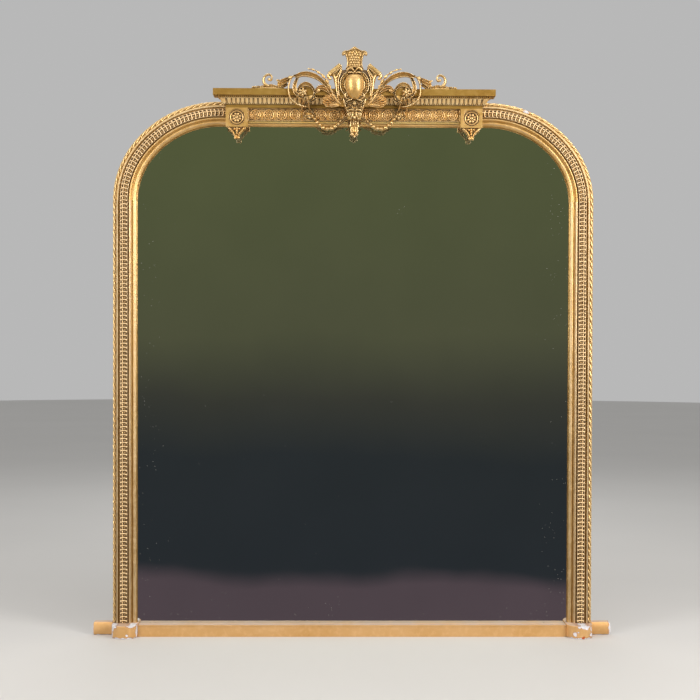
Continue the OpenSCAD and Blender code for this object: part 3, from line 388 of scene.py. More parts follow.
class Shader:
    """Short names for making a node material. Distances in it are in metres."""

    def __init__(self, name):
        self.material = bpy.data.materials.new(name)
        self.material.use_nodes = True
        self.tree = self.material.node_tree
        self.tree.nodes.clear()
        self.out = self.node("ShaderNodeOutputMaterial")
        self.bsdf = self.node("ShaderNodeBsdfPrincipled")
        self.link(self.bsdf.outputs["BSDF"], self.out.inputs["Surface"])
        self.place = self.node("ShaderNodeTexCoord").outputs["Object"]

    def node(self, kind, **settings):
        n = self.tree.nodes.new(kind)
        for key, value in settings.items():
            setattr(n, key, value)
        return n

    def link(self, a, b):
        self.tree.links.new(a, b)

    def put(self, socket, value):
        if isinstance(value, bpy.types.NodeSocket):
            self.link(value, socket)
        else:
            socket.default_value = value

    def surface(self, *values):
        """Sets the base colour, and the metallic and the roughness where they are given."""
        for socket, value in zip(SURFACE, values):
            self.put(self.bsdf.inputs[socket], value)

    def noise(self, scale, detail=3.0, rough=0.5, stretch=None):
        n = self.node("ShaderNodeTexNoise")
        for key, value in (("Scale", scale), ("Detail", detail), ("Roughness", rough)):
            n.inputs[key].default_value = value
        self.link(self.stretched(stretch) if stretch else self.place, n.inputs["Vector"])
        return n.outputs["Fac"]

    def stretched(self, scale):
        m = self.node("ShaderNodeMapping")
        m.inputs["Scale"].default_value = scale
        self.link(self.place, m.inputs["Vector"])
        return m.outputs["Vector"]

    def ramp(self, fac, *stops):
        """Stops are (position, value) or (position, colour)."""
        r = self.node("ShaderNodeValToRGB")
        while len(r.color_ramp.elements) < len(stops):
            r.color_ramp.elements.new(0.5)
        for e, (at, value) in zip(r.color_ramp.elements, stops):
            e.position = at
            e.color = (*value, 1) if isinstance(value, tuple) else (value, value, value, 1)
        self.link(fac, r.inputs["Fac"])
        return r.outputs["Color"]

    def mix(self, fac, a, b):
        m = self.node("ShaderNodeMix", data_type="RGBA")
        self.put(m.inputs[0], fac)
        self.put(m.inputs[6], (*a, 1) if isinstance(a, tuple) else a)
        self.put(m.inputs[7], (*b, 1) if isinstance(b, tuple) else b)
        return m.outputs[2]

    def math(self, operation, a, b=0.0, clamp=False):
        m = self.node("ShaderNodeMath", operation=operation, use_clamp=clamp)
        self.put(m.inputs[0], a)
        self.put(m.inputs[1], b)
        return m.outputs[0]

    def plus(self, a, b, clamp=False):
        return self.math("ADD", a, b, clamp)

    def minus(self, a, b):
        return self.math("SUBTRACT", a, b)

    def times(self, a, b):
        return self.math("MULTIPLY", a, b)

    def attribute(self, name):
        return self.node("ShaderNodeAttribute", attribute_name=name).outputs["Fac"]

    def crevice(self, distance):
        """1 in the open and near 0 in a deep hollow."""
        ao = self.node("ShaderNodeAmbientOcclusion", samples=8)
        ao.inputs["Distance"].default_value = distance
        return ao.outputs["AO"]

    def split(self, vector, which):
        s = self.node("ShaderNodeSeparateXYZ")
        self.link(vector, s.inputs[0])
        return s.outputs[which]

    def axis(self, which):
        return self.split(self.place, which)

    def facing(self, which):
        """The surface's own normal along X, Y or Z of the object."""
        return self.split(self.node("ShaderNodeNewGeometry").outputs["Normal"], which)

    def relief(self, height, strength, distance):
        """Fine relief from a height, as bump."""
        b = self.node("ShaderNodeBump")
        b.inputs["Strength"].default_value = strength
        b.inputs["Distance"].default_value = distance
        self.link(height, b.inputs["Height"])
        self.link(b.outputs["Normal"], self.bsdf.inputs["Normal"])


# Colours of the leaf where it is whole, where it is thin, and where it is pale from wear and painted
# highlight; of the bole, and of grime with painted shade
TONE, DEEP, PALE = (0.86, 0.54, 0.19), (0.70, 0.38, 0.09), (0.97, 0.74, 0.41)
BOLE, DIRT_AND_SHADE = (0.33, 0.10, 0.035), (0.045, 0.024, 0.008)


def gold(name, tone, deep, pale, dirt_shade_colour, rough=0.42, crevice=0.009, bole=0.5, shine=0.9, chips=None):
    """Old leaf over red bole and gesso: patchy tone, high places worn pale with a painted highlight, and
    grime with painted shade in the hollows.
    """
    s = Shader(name)
    broad, mottle, fine = s.noise(9, 4), s.noise(70, 5, 0.6), s.noise(520, 4, 0.6)
    colour = s.mix(s.ramp(broad, (0.35, 0.0), (0.65, 1.0)), deep, tone)
    colour = s.mix(s.ramp(mottle, (0.48, 0.0), (0.75, 0.5)), colour, pale)
    # Painted highlight and real wear: the ridges lighten towards the pale leaf.
    rubbed_and_highlit = s.ramp(s.attribute("ridge"), (0.1, 0.0), (0.9, 0.75))
    colour = s.mix(rubbed_and_highlit, colour, pale)
    thin = s.times(s.ramp(mottle, (0.28, 1.0), (0.36, 0.0)), s.ramp(broad, (0.42, 1.0), (0.6, 0.0)))
    colour = s.mix(s.times(thin, bole), colour, BOLE)
    # Painted shade and real grime: hollows, and crevices that the ambient occlusion finds, darken, lose metal
    # and grow rougher.
    shut = s.math("MAXIMUM", s.ramp(s.crevice(crevice), (0.1, 1.0), (0.62, 0.0)),
                  s.ramp(s.attribute("hollow"), (0.12, 0.0), (0.75, 1.0)))
    grimy_and_shaded = s.times(shut, s.ramp(fine, (0.3, 0.8), (0.6, 1.0)))
    colour = s.mix(grimy_and_shaded, colour, dirt_shade_colour)
    metal = s.ramp(grimy_and_shaded, (0.1, shine), (1.0, 0.25))
    roughness = s.plus(s.ramp(mottle, (0.3, rough - 0.07), (0.7, rough + 0.09)),
                       s.minus(s.times(grimy_and_shaded, 0.35), s.times(rubbed_and_highlit, 0.12)), clamp=True)
    if chips:
        colour, metal, roughness = chips(s, colour, metal, roughness)
    s.surface(colour, metal, roughness)
    s.relief(s.plus(s.times(mottle, 0.7), s.times(fine, 0.3)), 0.35, 0.0006)
    return s


def back_of_frame(s, colour, metal, roughness, bare):
    """No gilding on faces that turn to the wall: bare pine, or the thin wash on the ornament's back."""
    if bare:
        turned, dark, light = ((0.2, 0.0), (0.5, 1.0)), (0.22, 0.18, 0.09), (0.32, 0.26, 0.14)
    else:
        turned, dark, light = ((0.55, 0.0), (0.75, 1.0)), (0.30, 0.185, 0.085), (0.46, 0.31, 0.16)
    back = s.ramp(s.facing("Y"), *turned)
    wood = s.ramp(s.noise(30, 6, 0.6, stretch=(6, 6, 0.5)), (0.3, dark), (0.7, light))
    return (s.mix(back, colour, wood), s.times(metal, s.minus(1.0, back)),
            s.mix(back, roughness, (0.75, 0.75, 0.75)))


def gilded(name, tone=TONE, deep=DEEP, pale=PALE, shine=0.78, bare=True, where=None, **more):
    """Gold with an ungilded back, and on a stile, an arch or the rail the lines of painted shade and painted
    highlight.
    """
    s = gold(name, tone, deep, pale, DIRT_AND_SHADE, shine=shine, **more)
    colour, metal, roughness = (s.bsdf.inputs[k].links[0].from_socket for k in SURFACE)
    if where:
        waver = s.times(s.minus(s.noise(40, 3), 0.5), 0.0016)
        distance = s.plus(from_edge(s, where), waver)
        worn = s.ramp(s.noise(26, 4), (0.3, 0.75), (0.6, 1.0))
        # Painted shade and painted highlight: dark and pale lines along the member's profile.
        for lines, painted_tone in zip(LINES[where], (LINE_SHADE, LINE_HIGHLIGHT)):
            colour = s.mix(s.times(line_mask(s, distance, lines), worn), colour, painted_tone)
    s.surface(*back_of_frame(s, colour, metal, roughness, bare))
    return s.material


# Lines of painted shade along the frame's members, and then lines of painted highlight, as (s, half width,
# strength)
LINES = {
    "stile": (((12.6, 0.7, 0.8), (20.2, 2.6, 0.6), (47.8, 1.4, 0.95), (60.2, 1.9, 1.0), (74.4, 0.8, 0.6)),
              ((15.0, 1.5, 0.6), (54.0, 3.0, 0.45), (67.6, 4.0, 0.3))),
    "arch": (((12.6, 0.7, 0.6), (22.2, 1.3, 0.6), (47.0, 1.1, 0.75), (58.8, 0.9, 0.55), (73.2, 0.9, 0.85)),
             ((16.4, 2.4, 0.35), (52.0, 1.8, 0.15), (66.0, 3.0, 0.2))),
    "rail": (((67.2, 0.8, 0.75), (73.4, 0.8, 0.7)), ((70.8, 1.2, 0.15),))}
LINE_SHADE, LINE_HIGHLIGHT = (0.30, 0.14, 0.03), (0.97, 0.85, 0.64)


def from_edge(s, where):
    """The distance s in from the frame's outer edge, in metres, on a stile, an arch or the top rail."""
    x, z = s.math("ABSOLUTE", s.axis("X")), s.axis("Z")
    if where == "stile":
        return s.minus(FRAME_W / 2 * MM, x)
    if where == "rail":
        return s.minus(FRAME_H * MM, z)

    def arc(cx, cz, r):
        dx, dz = s.minus(x, cx * MM), s.minus(z, cz * MM)
        return s.minus(r * MM, s.math("SQRT", s.plus(s.times(dx, dx), s.times(dz, dz))))

    side, top = arc(SIDE_X, SPRING_Z, SIDE_R), arc(TOP_X, TOP_Z, TOP_R)
    # the two arcs meet on a line that rises 3 for each 4 across
    over = s.minus(s.times(s.minus(x, SIDE_X * MM), 0.6), s.times(s.minus(z, SPRING_Z * MM), 0.8))
    return s.plus(top, s.times(s.minus(side, top), s.math("GREATER_THAN", over, 0.0)))


def line_mask(s, distance, lines, reach=80):
    """The strength of the lines at a distance, with soft edges; reach is further than any line lies."""
    stops = [(0.0, 0.0)]
    for at, half, strength in lines:
        stops += [((at - half - 0.5) / reach, 0.0), ((at - half + 0.3) / reach, strength),
                  ((at + half - 0.3) / reach, strength), ((at + half + 0.5) / reach, 0.0)]
    return s.ramp(s.math("DIVIDE", distance, reach * MM), *stops)


def gesso_chips(s, colour, metal, roughness):
    """White gesso where the mesh's chip attribute is over a half, a brown edge round it, and red bole
    where it is below nought."""
    chip = s.attribute("chip")
    white = s.ramp(s.noise(160, 4), (0.3, (0.56, 0.55, 0.56)), (0.7, (0.78, 0.78, 0.82)))
    colour = s.mix(s.ramp(s.times(chip, -1.0), (0.3, 0.0), (0.6, 1.0)), colour, (0.58, 0.11, 0.02))
    edge = s.ramp(chip, (0.25, 0.0), (0.5, 1.0), (0.62, 0.0))
    colour = s.mix(s.ramp(chip, (0.45, 0.0), (0.6, 1.0)), colour, white)
    colour = s.mix(s.times(edge, 0.6), colour, (0.32, 0.11, 0.05))
    metal = s.times(metal, s.ramp(chip, (0.35, 1.0), (0.5, 0.0)))
    roughness = s.mix(s.ramp(chip, (0.35, 0.0), (0.5, 1.0)), roughness, (0.8, 0.8, 0.8))
    return colour, metal, roughness


def dusty_chips(s, colour, metal, roughness):
    """Dust on the faces that look up, and then the broken gesso."""
    upward = s.ramp(s.facing("Z"), (0.55, 0.0), (0.9, 0.75))
    dust = s.times(upward, s.ramp(s.noise(18, 4), (0.3, 0.5), (0.6, 1.0)))
    colour = s.mix(dust, colour, (0.50, 0.41, 0.38))
    return gesso_chips(s, colour, s.times(metal, s.minus(1.0, dust)), roughness)


def pine(name, along, tone=(0.46, 0.31, 0.16)):
    """Old softwood with its grain along X or Z."""
    s = Shader(name)
    stretch = {"X": (0.5, 7, 7), "Z": (7, 7, 0.5)}[along]
    grain, rings = s.noise(22, 7, 0.62, stretch), s.noise(5, 3, 0.5, stretch)
    dark, light, ring = (tuple(min(1, c * f) for c in tone) for f in (0.55, 1.25, 0.6))
    colour = s.ramp(grain, (0.3, dark), (0.55, tone), (0.8, light))
    colour = s.mix(s.ramp(rings, (0.4, 0.0), (0.62, 0.5)), colour, ring)
    # Painted shade: darker in corners and crevices, from the ambient occlusion.
    colour = s.mix(s.ramp(s.crevice(0.02), (0.3, 0.8), (0.9, 0.0)), colour, (0.07, 0.05, 0.035))
    s.put(s.bsdf.inputs["Roughness"], s.ramp(grain, (0.3, 0.85), (0.7, 0.68)))
    s.surface(colour)
    s.relief(grain, 0.4, 0.0008)
    return s.material


def mirror_glass():
    """Old silvering: a dark, faintly green reflection with specks of foxing towards the edges."""
    s = Shader("silvered_glass")
    x, z = s.math("ABSOLUTE", s.axis("X")), s.axis("Z")
    rim = s.math("MAXIMUM", s.ramp(x, (0.56, 0.0), (0.67, 1.0)), s.ramp(z, (0.0, 1.0), (0.16, 0.0)))
    specks = s.node("ShaderNodeTexVoronoi", feature="F1")
    specks.inputs["Scale"].default_value = 85
    s.link(s.place, specks.inputs["Vector"])
    dots = s.ramp(specks.outputs["Distance"], (0.05, 1.0), (0.11, 0.0))
    foxed = s.times(dots, s.ramp(s.plus(s.times(rim, 0.3), s.noise(14, 4)), (0.6, 0.0), (0.78, 1.0)))
    silver = s.ramp(s.noise(3, 5), (0.3, (0.78, 0.82, 0.78)), (0.7, (0.86, 0.89, 0.85)))
    haze = s.ramp(s.noise(5, 5), (0.35, 0.012), (0.75, 0.05))
    s.surface(s.mix(foxed, silver, (0.10, 0.09, 0.075)), s.ramp(foxed, (0.2, 1.0), (0.8, 0.3)),
              s.plus(haze, s.times(foxed, 0.4)))
    s.relief(s.noise(2.2, 2), 0.05, 0.002)
    return s.material


def worn_shaded_metal(name, tone, dark, rough):
    """Bare metal, darker where it is worn, and darker with painted shade in its corners."""
    s = Shader(name)
    wear = s.noise(120, 5, 0.6)
    colour = s.mix(s.ramp(wear, (0.4, 0.0), (0.7, 0.8)), tone, dark)
    # Painted shade: darker in its corners, from the ambient occlusion.
    colour = s.mix(s.ramp(s.crevice(0.004), (0.3, 0.8), (0.9, 0.0)), colour, dark)
    s.surface(colour, 1.0, s.ramp(wear, (0.3, rough), (0.7, rough + 0.25)))
    s.relief(wear, 0.3, 0.0004)
    return s.material


# ---- The frame's line, for what runs along it ----
def frame_line(step):
    """Stations up the left stile and over the left arch, in the order that the rope and the pearls run.
    Each is the outer point, the inward direction, and the run along the outer edge and the pearl band."""
    mid = BAND_S + BAND_W / 2
    length = SPRING_Z - BLOCK_H
    n = round(length / step)
    out = [(-FRAME_W / 2, BLOCK_H + run, 1, 0, run, run) for run in (length * i / n for i in range(n + 1))]
    run, band = length, length
    meet = 90 + ARCH_TURN
    for cx, cz, r, a0, a1 in ((-SIDE_X, SPRING_Z, SIDE_R, 180, meet), (-TOP_X, TOP_Z, TOP_R, meet, 90)):
        turn = math.radians(a0 - a1)
        n = round(turn * r / step)
        for i in range(1, n + 1):
            a = math.radians(a0) - turn * i / n
            out.append((cx + r * math.cos(a), cz + r * math.sin(a), -math.cos(a), -math.sin(a),
                        run + turn * r * i / n, band + turn * (r - mid) * i / n))
        run, band = run + turn * r, band + turn * (r - mid)
    straight = TOP_X - ARCH_END_X
    n = max(round(straight / step), 1)
    for d in (straight * i / n for i in range(1, n + 1)):
        out.append((-TOP_X + d, FRAME_H, 0, -1, run + d, band + d))
    return np.array(out)


def strip(line, s_values, height, floor_p):
    """A closed strip along the frame whose face is height(stations, s), down to floor_p at its back."""
    x = line[:, None, 0] + line[:, None, 2] * s_values
    z = line[:, None, 1] + line[:, None, 3] * s_values
    return sheet((x, height(line, s_values), z), (x, floor_p, z))


def split_line(line):
    """The stations of the stile, and those of the arch."""
    stile = (line[:, 1] <= SPRING_Z + 1e-6) & (line[:, 0] < -FRAME_W / 2 + 1e-6)
    last = np.nonzero(stile)[0][-1]
    return line[: last + 1], line[last:]


ROPE_PITCH, ROPE_SLOPE, ROPE_STEP = 21.3, 1.96, 1.4
BAND_PITCH, BAND_STEP = 12.2, 0.9
# A loss is a middle and radii, in x and z
ROPE_LOSS = ((529.5, 1617), (10, 6))


def dome(d, r):
    """A round top: 1 at d = 0, falling to 0 at d = r on either side."""
    return np.sqrt(np.clip(1 - (d / r) ** 2, 0, 1))


def rope_height(handed):
    """Strands laid round a half-round: handed is 1 or -1 for the way they lean."""
    half, groove, lowest = ROPE_W / 2, 3.0, 0.3

    def height(line, s):
        top = dome(s - half, half)
        phase = (line[:, None, 4] + handed * ROPE_SLOPE * s) / ROPE_PITCH
        sunk = np.abs((phase % 1.0) * 2 - 1) ** 2.2
        return np.maximum(ROPE_AXIS_P + half * top - groove * (0.4 + 0.6 * top) * sunk, ROPE_SEAT_P + lowest)
    return height


def band_height(line, s):
    """Curved ribs with a knob at each end, a stick that joins them, and a pearl on it between each pair."""
    b = s - (BAND_S + BAND_W / 2)
    run = line[:, None, 5] / BAND_PITCH
    bow = 0.17 * (1 - (b / 10) ** 2)
    a = ((run - bow) % 1.0 - 0.5) * BAND_PITCH
    stick_b, outer_b, inner_b, edge_b = -4.2, -8.8, 8.4, 10.2
    ribs = dome(a, 2.3 + 0.9 * (np.abs(b) / 10) ** 2) * 3.6
    stick = dome(b - stick_b, 2.0) * 2.6 + 0 * a
    inner = dome(np.hypot(a, b - inner_b), 3.3) * 4.8
    outer = dome(np.hypot(a, b - outer_b), 2.6) * 4.2
    pearl = dome(np.hypot(np.abs(a) - BAND_PITCH / 2, b - stick_b), 2.3) * 3.4
    edge = np.where(np.abs(b) > edge_b, 3.4, 0.0) + 0 * a
    return BAND_SEAT_P + 1.0 + np.maximum.reduce([ribs, stick, inner, outer, pearl, edge])


def ragged(co, scale, seed):
    """A rough noise at points in millimetres, for torn edges."""
    return np.array([noise.noise(Vector((c[0] + seed, c[1], c[2])) * scale) for c in co])


def patch(co, centre, radii):
    """1 at the middle of an ellipse in x and z, 0.5 at its edge, less beyond."""
    d = np.hypot((co[:, 0] - centre[0]) / radii[0], (co[:, 2] - centre[1]) / radii[1])
    return 1.0 - d * 0.5


def frame_mouldings(material, rope_material):
    """The pearl band and the rope, up each stile and over each arch."""
    bands, ropes = split_line(frame_line(BAND_STEP)), split_line(frame_line(ROPE_STEP))
    band_s = np.linspace(BAND_S, BAND_S + BAND_W, 31)
    rope_s = ROPE_W / 2 - ROPE_W / 2 * np.cos(np.linspace(0, math.pi, 15))
    for side, handed, band_seed, rope_seed in (("left", 1, 0.0, 5.0), ("right", -1, 3.0, 9.0)):
        for part, line in zip(("stile", "arch"), bands):
            shape = strip(line, band_s, band_height, BAND_SEAT_P)
            ornament(f"carved_band_{part}_{side}", shape if handed > 0 else mirrored(shape), material,
                     f"pearl_{part}_{side}", marks=(0.25, 190, band_seed), worn=(8, 0.42))
        for part, line in zip(("stile", "arch"), ropes):
            shape = strip(line, rope_s, rope_height(handed), ROPE_SEAT_P)
            obj = ornament(f"carved_rope_{part}_{side}", shape if handed > 0 else mirrored(shape),
                           rope_material, f"rope_{part}_{side}", marks=(0.3, 120, rope_seed), worn=(16, 0.35))
    # the last of them, over the right arch, has lost a piece of its gilding
    co = read_points(obj.data)[0] / MM
    store(obj.data, "chip", np.clip(patch(co, *ROPE_LOSS) + 0.25 * ragged(co, 0.25, 2), 0, 1))


# ---- Cornice enrichments ----
TONGUE_PITCH = 13.3


def tongue_face(u, v):
    """How far tongues and darts stand out, at u along the run and v from 0 to 1 up the face."""
    a = ((u / TONGUE_PITCH) % 1.0 - 0.5) * TONGUE_PITCH
    half = 4.5 * dome(np.clip((7.0 - v * TONGUE_H) / 6.4, 0, 1), 1)
    tongue = dome(a, np.maximum(half, 1e-3)) * (half > 0.3)
    rim = np.clip(1 - np.abs(np.abs(a) - half + 0.8) / 0.8, 0, 1) * (half > 1.6) * 0.7
    dart = np.clip(1 - np.abs(np.abs(a) - TONGUE_PITCH / 2) / 0.8, 0, 1) * np.clip(1.1 - v, 0, 1)
    lip = np.clip((v - 0.9) / 0.05, 0, 1)
    fillet = np.clip((0.05 - v) / 0.03, 0, 1)
    shape = np.maximum(3.3 * tongue + rim, 1.2 * dart) * (1 - lip) * (1 - fillet)
    return np.minimum(0.2 + shape + 2.8 * lip + 1.6 * fillet, 3.9)


def tongues(material):
    """Tongues between darts, on the leaning face under the dentils, along the front and both returns."""
    end_p, mitre_w, back = 50.0, 16, 0.2
    v = np.linspace(0, 1, 19)
    lean, z = TONGUE_P + TONGUE_LEAN * v, TONGUE_Z + TONGUE_H * v
    spread = lean - TONGUE_P
    foot_x = RETURN_X + TONGUE_P
    run = np.linspace(-foot_x, foot_x, 721)[:, None]
    mitre = np.clip((np.abs(run) - foot_x + mitre_w) / mitre_w, 0, 1) * np.sign(run)
    out = tongue_face(run, v)
    parts = [sheet((run + mitre * (spread + out), lean + out, z), (run + mitre * spread, lean - back, z))]
    w = np.linspace(0, 1, 41)[:, None]
    out = tongue_face(w * (TONGUE_P - end_p) + TONGUE_PITCH / 2, v)
    for sign in (-1, 1):
        parts.append(sheet((sign * (RETURN_X + lean + out), (lean + out) * (1 - w) + end_p * w, z),
                           (sign * (RETURN_X + lean - back), lean * (1 - w) + end_p * w, z)))
    ornament("carved_tongues", join(*parts), material, "tongue_course", marks=(0.2, 170, 2.0), worn=(5, 0.6))


def dentils(material):
    """Small square dentils, worn a little unevenly, between two thin fillets."""
    pitch, fillet, sunk, end_p = 6.2, 0.9, 0.5, 52
    front, back = DENTIL_P + DENTIL_T, DENTIL_P - sunk
    top = DENTIL_Z + DENTIL_H
    half = RETURN_X + front
    count = int(half // pitch)
    rng = np.random.default_rng(5)
    parts = []
    for i in range(-count, count + 1):
        w = pitch * 0.24 + rng.uniform(-0.15, 0.1)
        parts.append(box(i * pitch - w, i * pitch + w, back, front - rng.uniform(0, 0.5), DENTIL_Z, top, 0.4))
    for sign in (-1, 1):
        x0, x1 = sorted((sign * (half - DENTIL_T - sunk), sign * half))
        for p in (front - 2 - i * pitch for i in range(1, 7)):
            if p > end_p:
                parts.append(box(x0, x1, p - 1.7, p + 1.7, DENTIL_Z, top, 0.0))
    parts += [box(-half, half, back, front, DENTIL_Z, DENTIL_Z + fillet),
              box(-half, half, back, front + 0.6, top - fillet, top)]
    obj = new_object("carved_dentils", join(*parts), smooth=False)
    finish_piece(obj, material, COMPOSITION, "dentil_course")


def frieze(material, bead_material):
    """Interlaced rings with a button in each, run along the frieze in low relief, and the bead under it."""
    edge, count, back_p = 3, 16, 50
    pitch = 2 * (FRIEZE_X - edge) / count
    x, z = np.linspace(-FRIEZE_X, FRIEZE_X, 1080), np.linspace(FRIEZE_Z, FRIEZE_Z + FRIEZE_H, 64)
    gx, gz = np.meshgrid(x, z, indexing="ij")
    share = (gx + FRIEZE_X - edge) / pitch % 1.0
    # a is measured from the middle of a ring, c from between two, and b from the frieze's mid line
    a, b = (share - 0.5) * pitch, gz - (FRIEZE_Z + FRIEZE_H / 2)
    c = np.where(share * pitch > pitch / 2, share * pitch - pitch, share * pitch)
    r = np.hypot(a, b)
    field = 0.4 + 0.2 * np.sin(gx * 2.1) * np.sin(gz * 2.3)
    rings = np.maximum(dome(r - 14.6, 2.3) * 4.0, dome(r - 8.6, 1.5) * 2.8)
    petal = np.abs((np.arctan2(b, a) * 9 / (2 * math.pi)) % 1.0 - 0.5) * 8
    petals = np.where((r > 10) & (r < 13), dome(petal, 2.2) * 1.6, 0)
    button = dome(r, 4.4) * 4.0 - np.where(r < 1.4, 1.6, 0)
    links = dome(np.abs(b) - 0.5 * np.abs(c) - 10.4, 1.6) * 2.8 * (np.abs(c) < 8)
    links = np.maximum(links, dome(np.hypot(c, b), 2.2) * 1.2)
    out = np.maximum.reduce([field, rings, petals, button, links])
    border = np.minimum.reduce([gx + FRIEZE_X, FRIEZE_X - gx, gz - FRIEZE_Z, FRIEZE_Z + FRIEZE_H - gz])
    out = np.where(border < 2.4, dome(border - 1.1, 1.4) * 3.6 + 0.3, out)
    ornament("carved_frieze", sheet((gx, FIELD_P + 0.2 + out, gz), (gx, back_p, gz)), material,
             "frieze_panel", marks=(0.3, 150, 7.0), worn=(8, 1.0))
    bead_z, bead_p = FRIEZE_Z - 2.4, FIELD_P - 20
    bead = rib([(x, bead_z, bead_p, 4.6, 19) for x in np.linspace(-FRIEZE_X, FRIEZE_X, 60)], DOME, 2)
    ornament("carved_rail_bead", bead, bead_material, marks=(0.25, 120, 4.0))


def paterae(material):
    """A sunk disc with a ring in it, about an eight-petalled flower with a drilled eye."""
    seat, z = CORNER_P - 6, PATERA_Z
    dish = [(0, 25.8), (3.4, 25.8), (4.4, 25.3), (4.2, 24.8), (3.0, 23.9), (2.4, 22.4), (1.0, 20.0),
            (1.0, 0.1)]
    eye = [(0, 6), (3.2, 4.8), (5.2, 3.6), (5.6, 2.2), (4.4, 1.3), (3.8, 0.1)]
    for side, sign in SIDES:
        x = sign * CORNER_X
        parts = [lathe(dish, (x, seat, z), n=96), torus((x, seat + 1.6, z), 18.9, 2.1, 80, 12, squash=1.3),
                 lathe(eye, (x, seat, z), n=32)]
        petal = join(ball((x + 10.6, seat + 2.2, z), (4.7, 3.4, 3.5), 16),
                     ball((x + 12.0, seat + 4.0, z), (2.6, 2.2, 1.0)))
        parts += [spun(petal, 45 * i + 22.5, (x, z)) for i in range(8)]
        ornament(f"carved_patera_{side}", join(*parts), material, f"patera_{side}",
                 marks=(0.2, 240, sign * 2.0), worn=(3, 1.1))


def block_drops(material):
    """Two leaves that spread like a V under a corner block, with a knobbed stem between them."""
    half = join(rib([(25, -0.5, 0, 8, 12), (21, -5, 0, 8.5, 15), (14, -13, 0, 8, 16), (8, -21, 0, 7, 14),
                     (3.5, -29, 0, 5, 10)]),
                ball((4.4, 5, -32), (4.4, 6, 4.8)), ball((7, 8, -5), (3.2, 4, 3.6)))
    bar = plate([(-27, 0.5), (27, 0.5), (25, -2), (-25, -2)], -6, 5, 1)
    knobs = [ball((0, 10, -4.5), (4, 5, 4.4)), ball((0, 11, -12), (3.8, 4.6, 4)),
             ball((0, 10, -19.5), (3, 4, 3.6))]
    stem = rib([(0, 0, 0, 5, 10), (0, -16, 0, 4.5, 10), (0, -31, 0, 4, 8)], steps=5)
    shape = join(half, mirrored(half), bar, *knobs, stem)
    for side, sign in SIDES:
        carve(f"carved_block_drop_{side}", moved(shape, sign * CORNER_X, CORNER_P - 16, FRIEZE_Z - 20),
              material, f"block_drop_{side}", voxel=0.6, marks=0.1, seed=sign, depth=1.3)


# ---- Crest ----
def husk(x, z, p, a, length, width):
    """One bell-shaped husk of a chain, pointing along an angle in the plane of the front."""
    profile = [(-0.5, 0.10), (-0.35, 0.30), (-0.1, 0.47), (0.15, 0.50), (0.35, 0.36), (0.5, 0.12)]
    return lathe([(t * length, r * width) for t, r in profile], (x, p, z), (math.cos(a), 0, math.sin(a)), 12)


def scrolls(material):
    """Leafy C-scrolls that rise from the cartouche, with a flower in each."""
    fx, fz = FLOWER
    stem = rib([(-60, 1640, -1, 7, 9), (-70, 1656, 0, 9, 11), (-83, 1677, 0, 10, 13), (-99, 1695, 1, 12, 14),
                (-118, 1707.5, 2, 15, 14), (-139, 1714, 2, 16, 13), (-159, 1714, 2, 14, 13),
                (-175, 1709, 1, 11, 12), (-184, 1711.5, 0, 4, 8)], CHANNEL, 8)
    rim = rib([(-183, 1710, 0, 5, 9), (-191, 1704, 0, 6, 9), (-197, 1688, 0, 5.5, 10), (-199, 1668, 0, 6, 10),
               (-195.5, 1649, 0, 6.5, 10), (-186.5, 1635, 0, 6.5, 10), (-171, 1625, -6, 6, 12),
               (-154, 1620.5, -20, 5, 18), (-141, 1621, -26, 3, 18)], DOME, 8)
    band = rib([(-170, 1706, 0, 7, 10), (-177, 1693, 0, 10, 9), (-181, 1676, -1, 12, 8),
                (-177.5, 1659, -2, 11, 8), (-167, 1649, -3, 9, 8), (-154, 1646, -4, 7, 8),
                (-145, 1649, -4, 4, 6)], CHANNEL, 8)
    rows = []
    for a in np.linspace(205, -78, 12):
        r, c = 26.5, math.radians(a)
        w = 5 + 9 * math.exp(-((a - 95) / 55) ** 2)
        rise = 3 * math.exp(-((a - 95) / 60) ** 2)
        rows.append((fx + (r - w * 0.2) * math.cos(c), fz + r * math.sin(c), rise - 2, w, 9))
    ring = rib(rows + [(fx + 18, fz - 25, -4, 6, 7), (fx + 28, fz - 19, 0, 7, 9),
                       (fx + 33, fz - 13, 2, 2, 5)], CHANNEL, 6, lobes=0.12, lobe_n=11)
    ex, ez = fx - 9.5, fz + 2
    flower = [ball((ex + 2, 9.5, ez), (4.6, 5, 5.2))]
    for i in range(6):
        a = math.radians(60 * i + 25)
        flower.append(rib([(ex + 3 * math.cos(a), ez + 3 * math.sin(a), 2, 5, 8),
                           (ex + 8.5 * math.cos(a), ez + 9 * math.sin(a), 2, 9, 9),
                           (ex + 14 * math.cos(a), ez + 15.5 * math.sin(a), 0, 4, 6)], steps=5))
    cup = lathe([(-40, 9), (-20, 13), (-4, 21), (0, 23), (1.5, 21), (-1, 14), (-3, 5)], (fx, -2, fz), n=28)
    prongs = []
    for dx0, dx1 in ((-2, -12), (2, 9)):
        prongs.append(rib([(fx + dx0, fz - 12, -2, 6, 9), (fx + (dx0 + dx1) / 2, fz - 24, -12, 6, 12),
                           (fx + dx1, fz - 38, -38, 6, 12), (fx + dx1 * 1.3, fz - 46, -46, 3, 8)]))
    knob = [ball((-194.5, 4, 1704), (6.5, 7, 6.5)), torus((-194.5, 5, 1704), 5.2, 1.6, 20, 8)]
    shape = join(stem, rim, band, ring, cup, *flower, *prongs, *knob)
    carve_pair("carved_scroll", moved(shape, p=CREST_P), material, "scroll", "scroll_flower", voxel=0.85,
               marks=0.15, seed=1.0, right_seed=4.0)


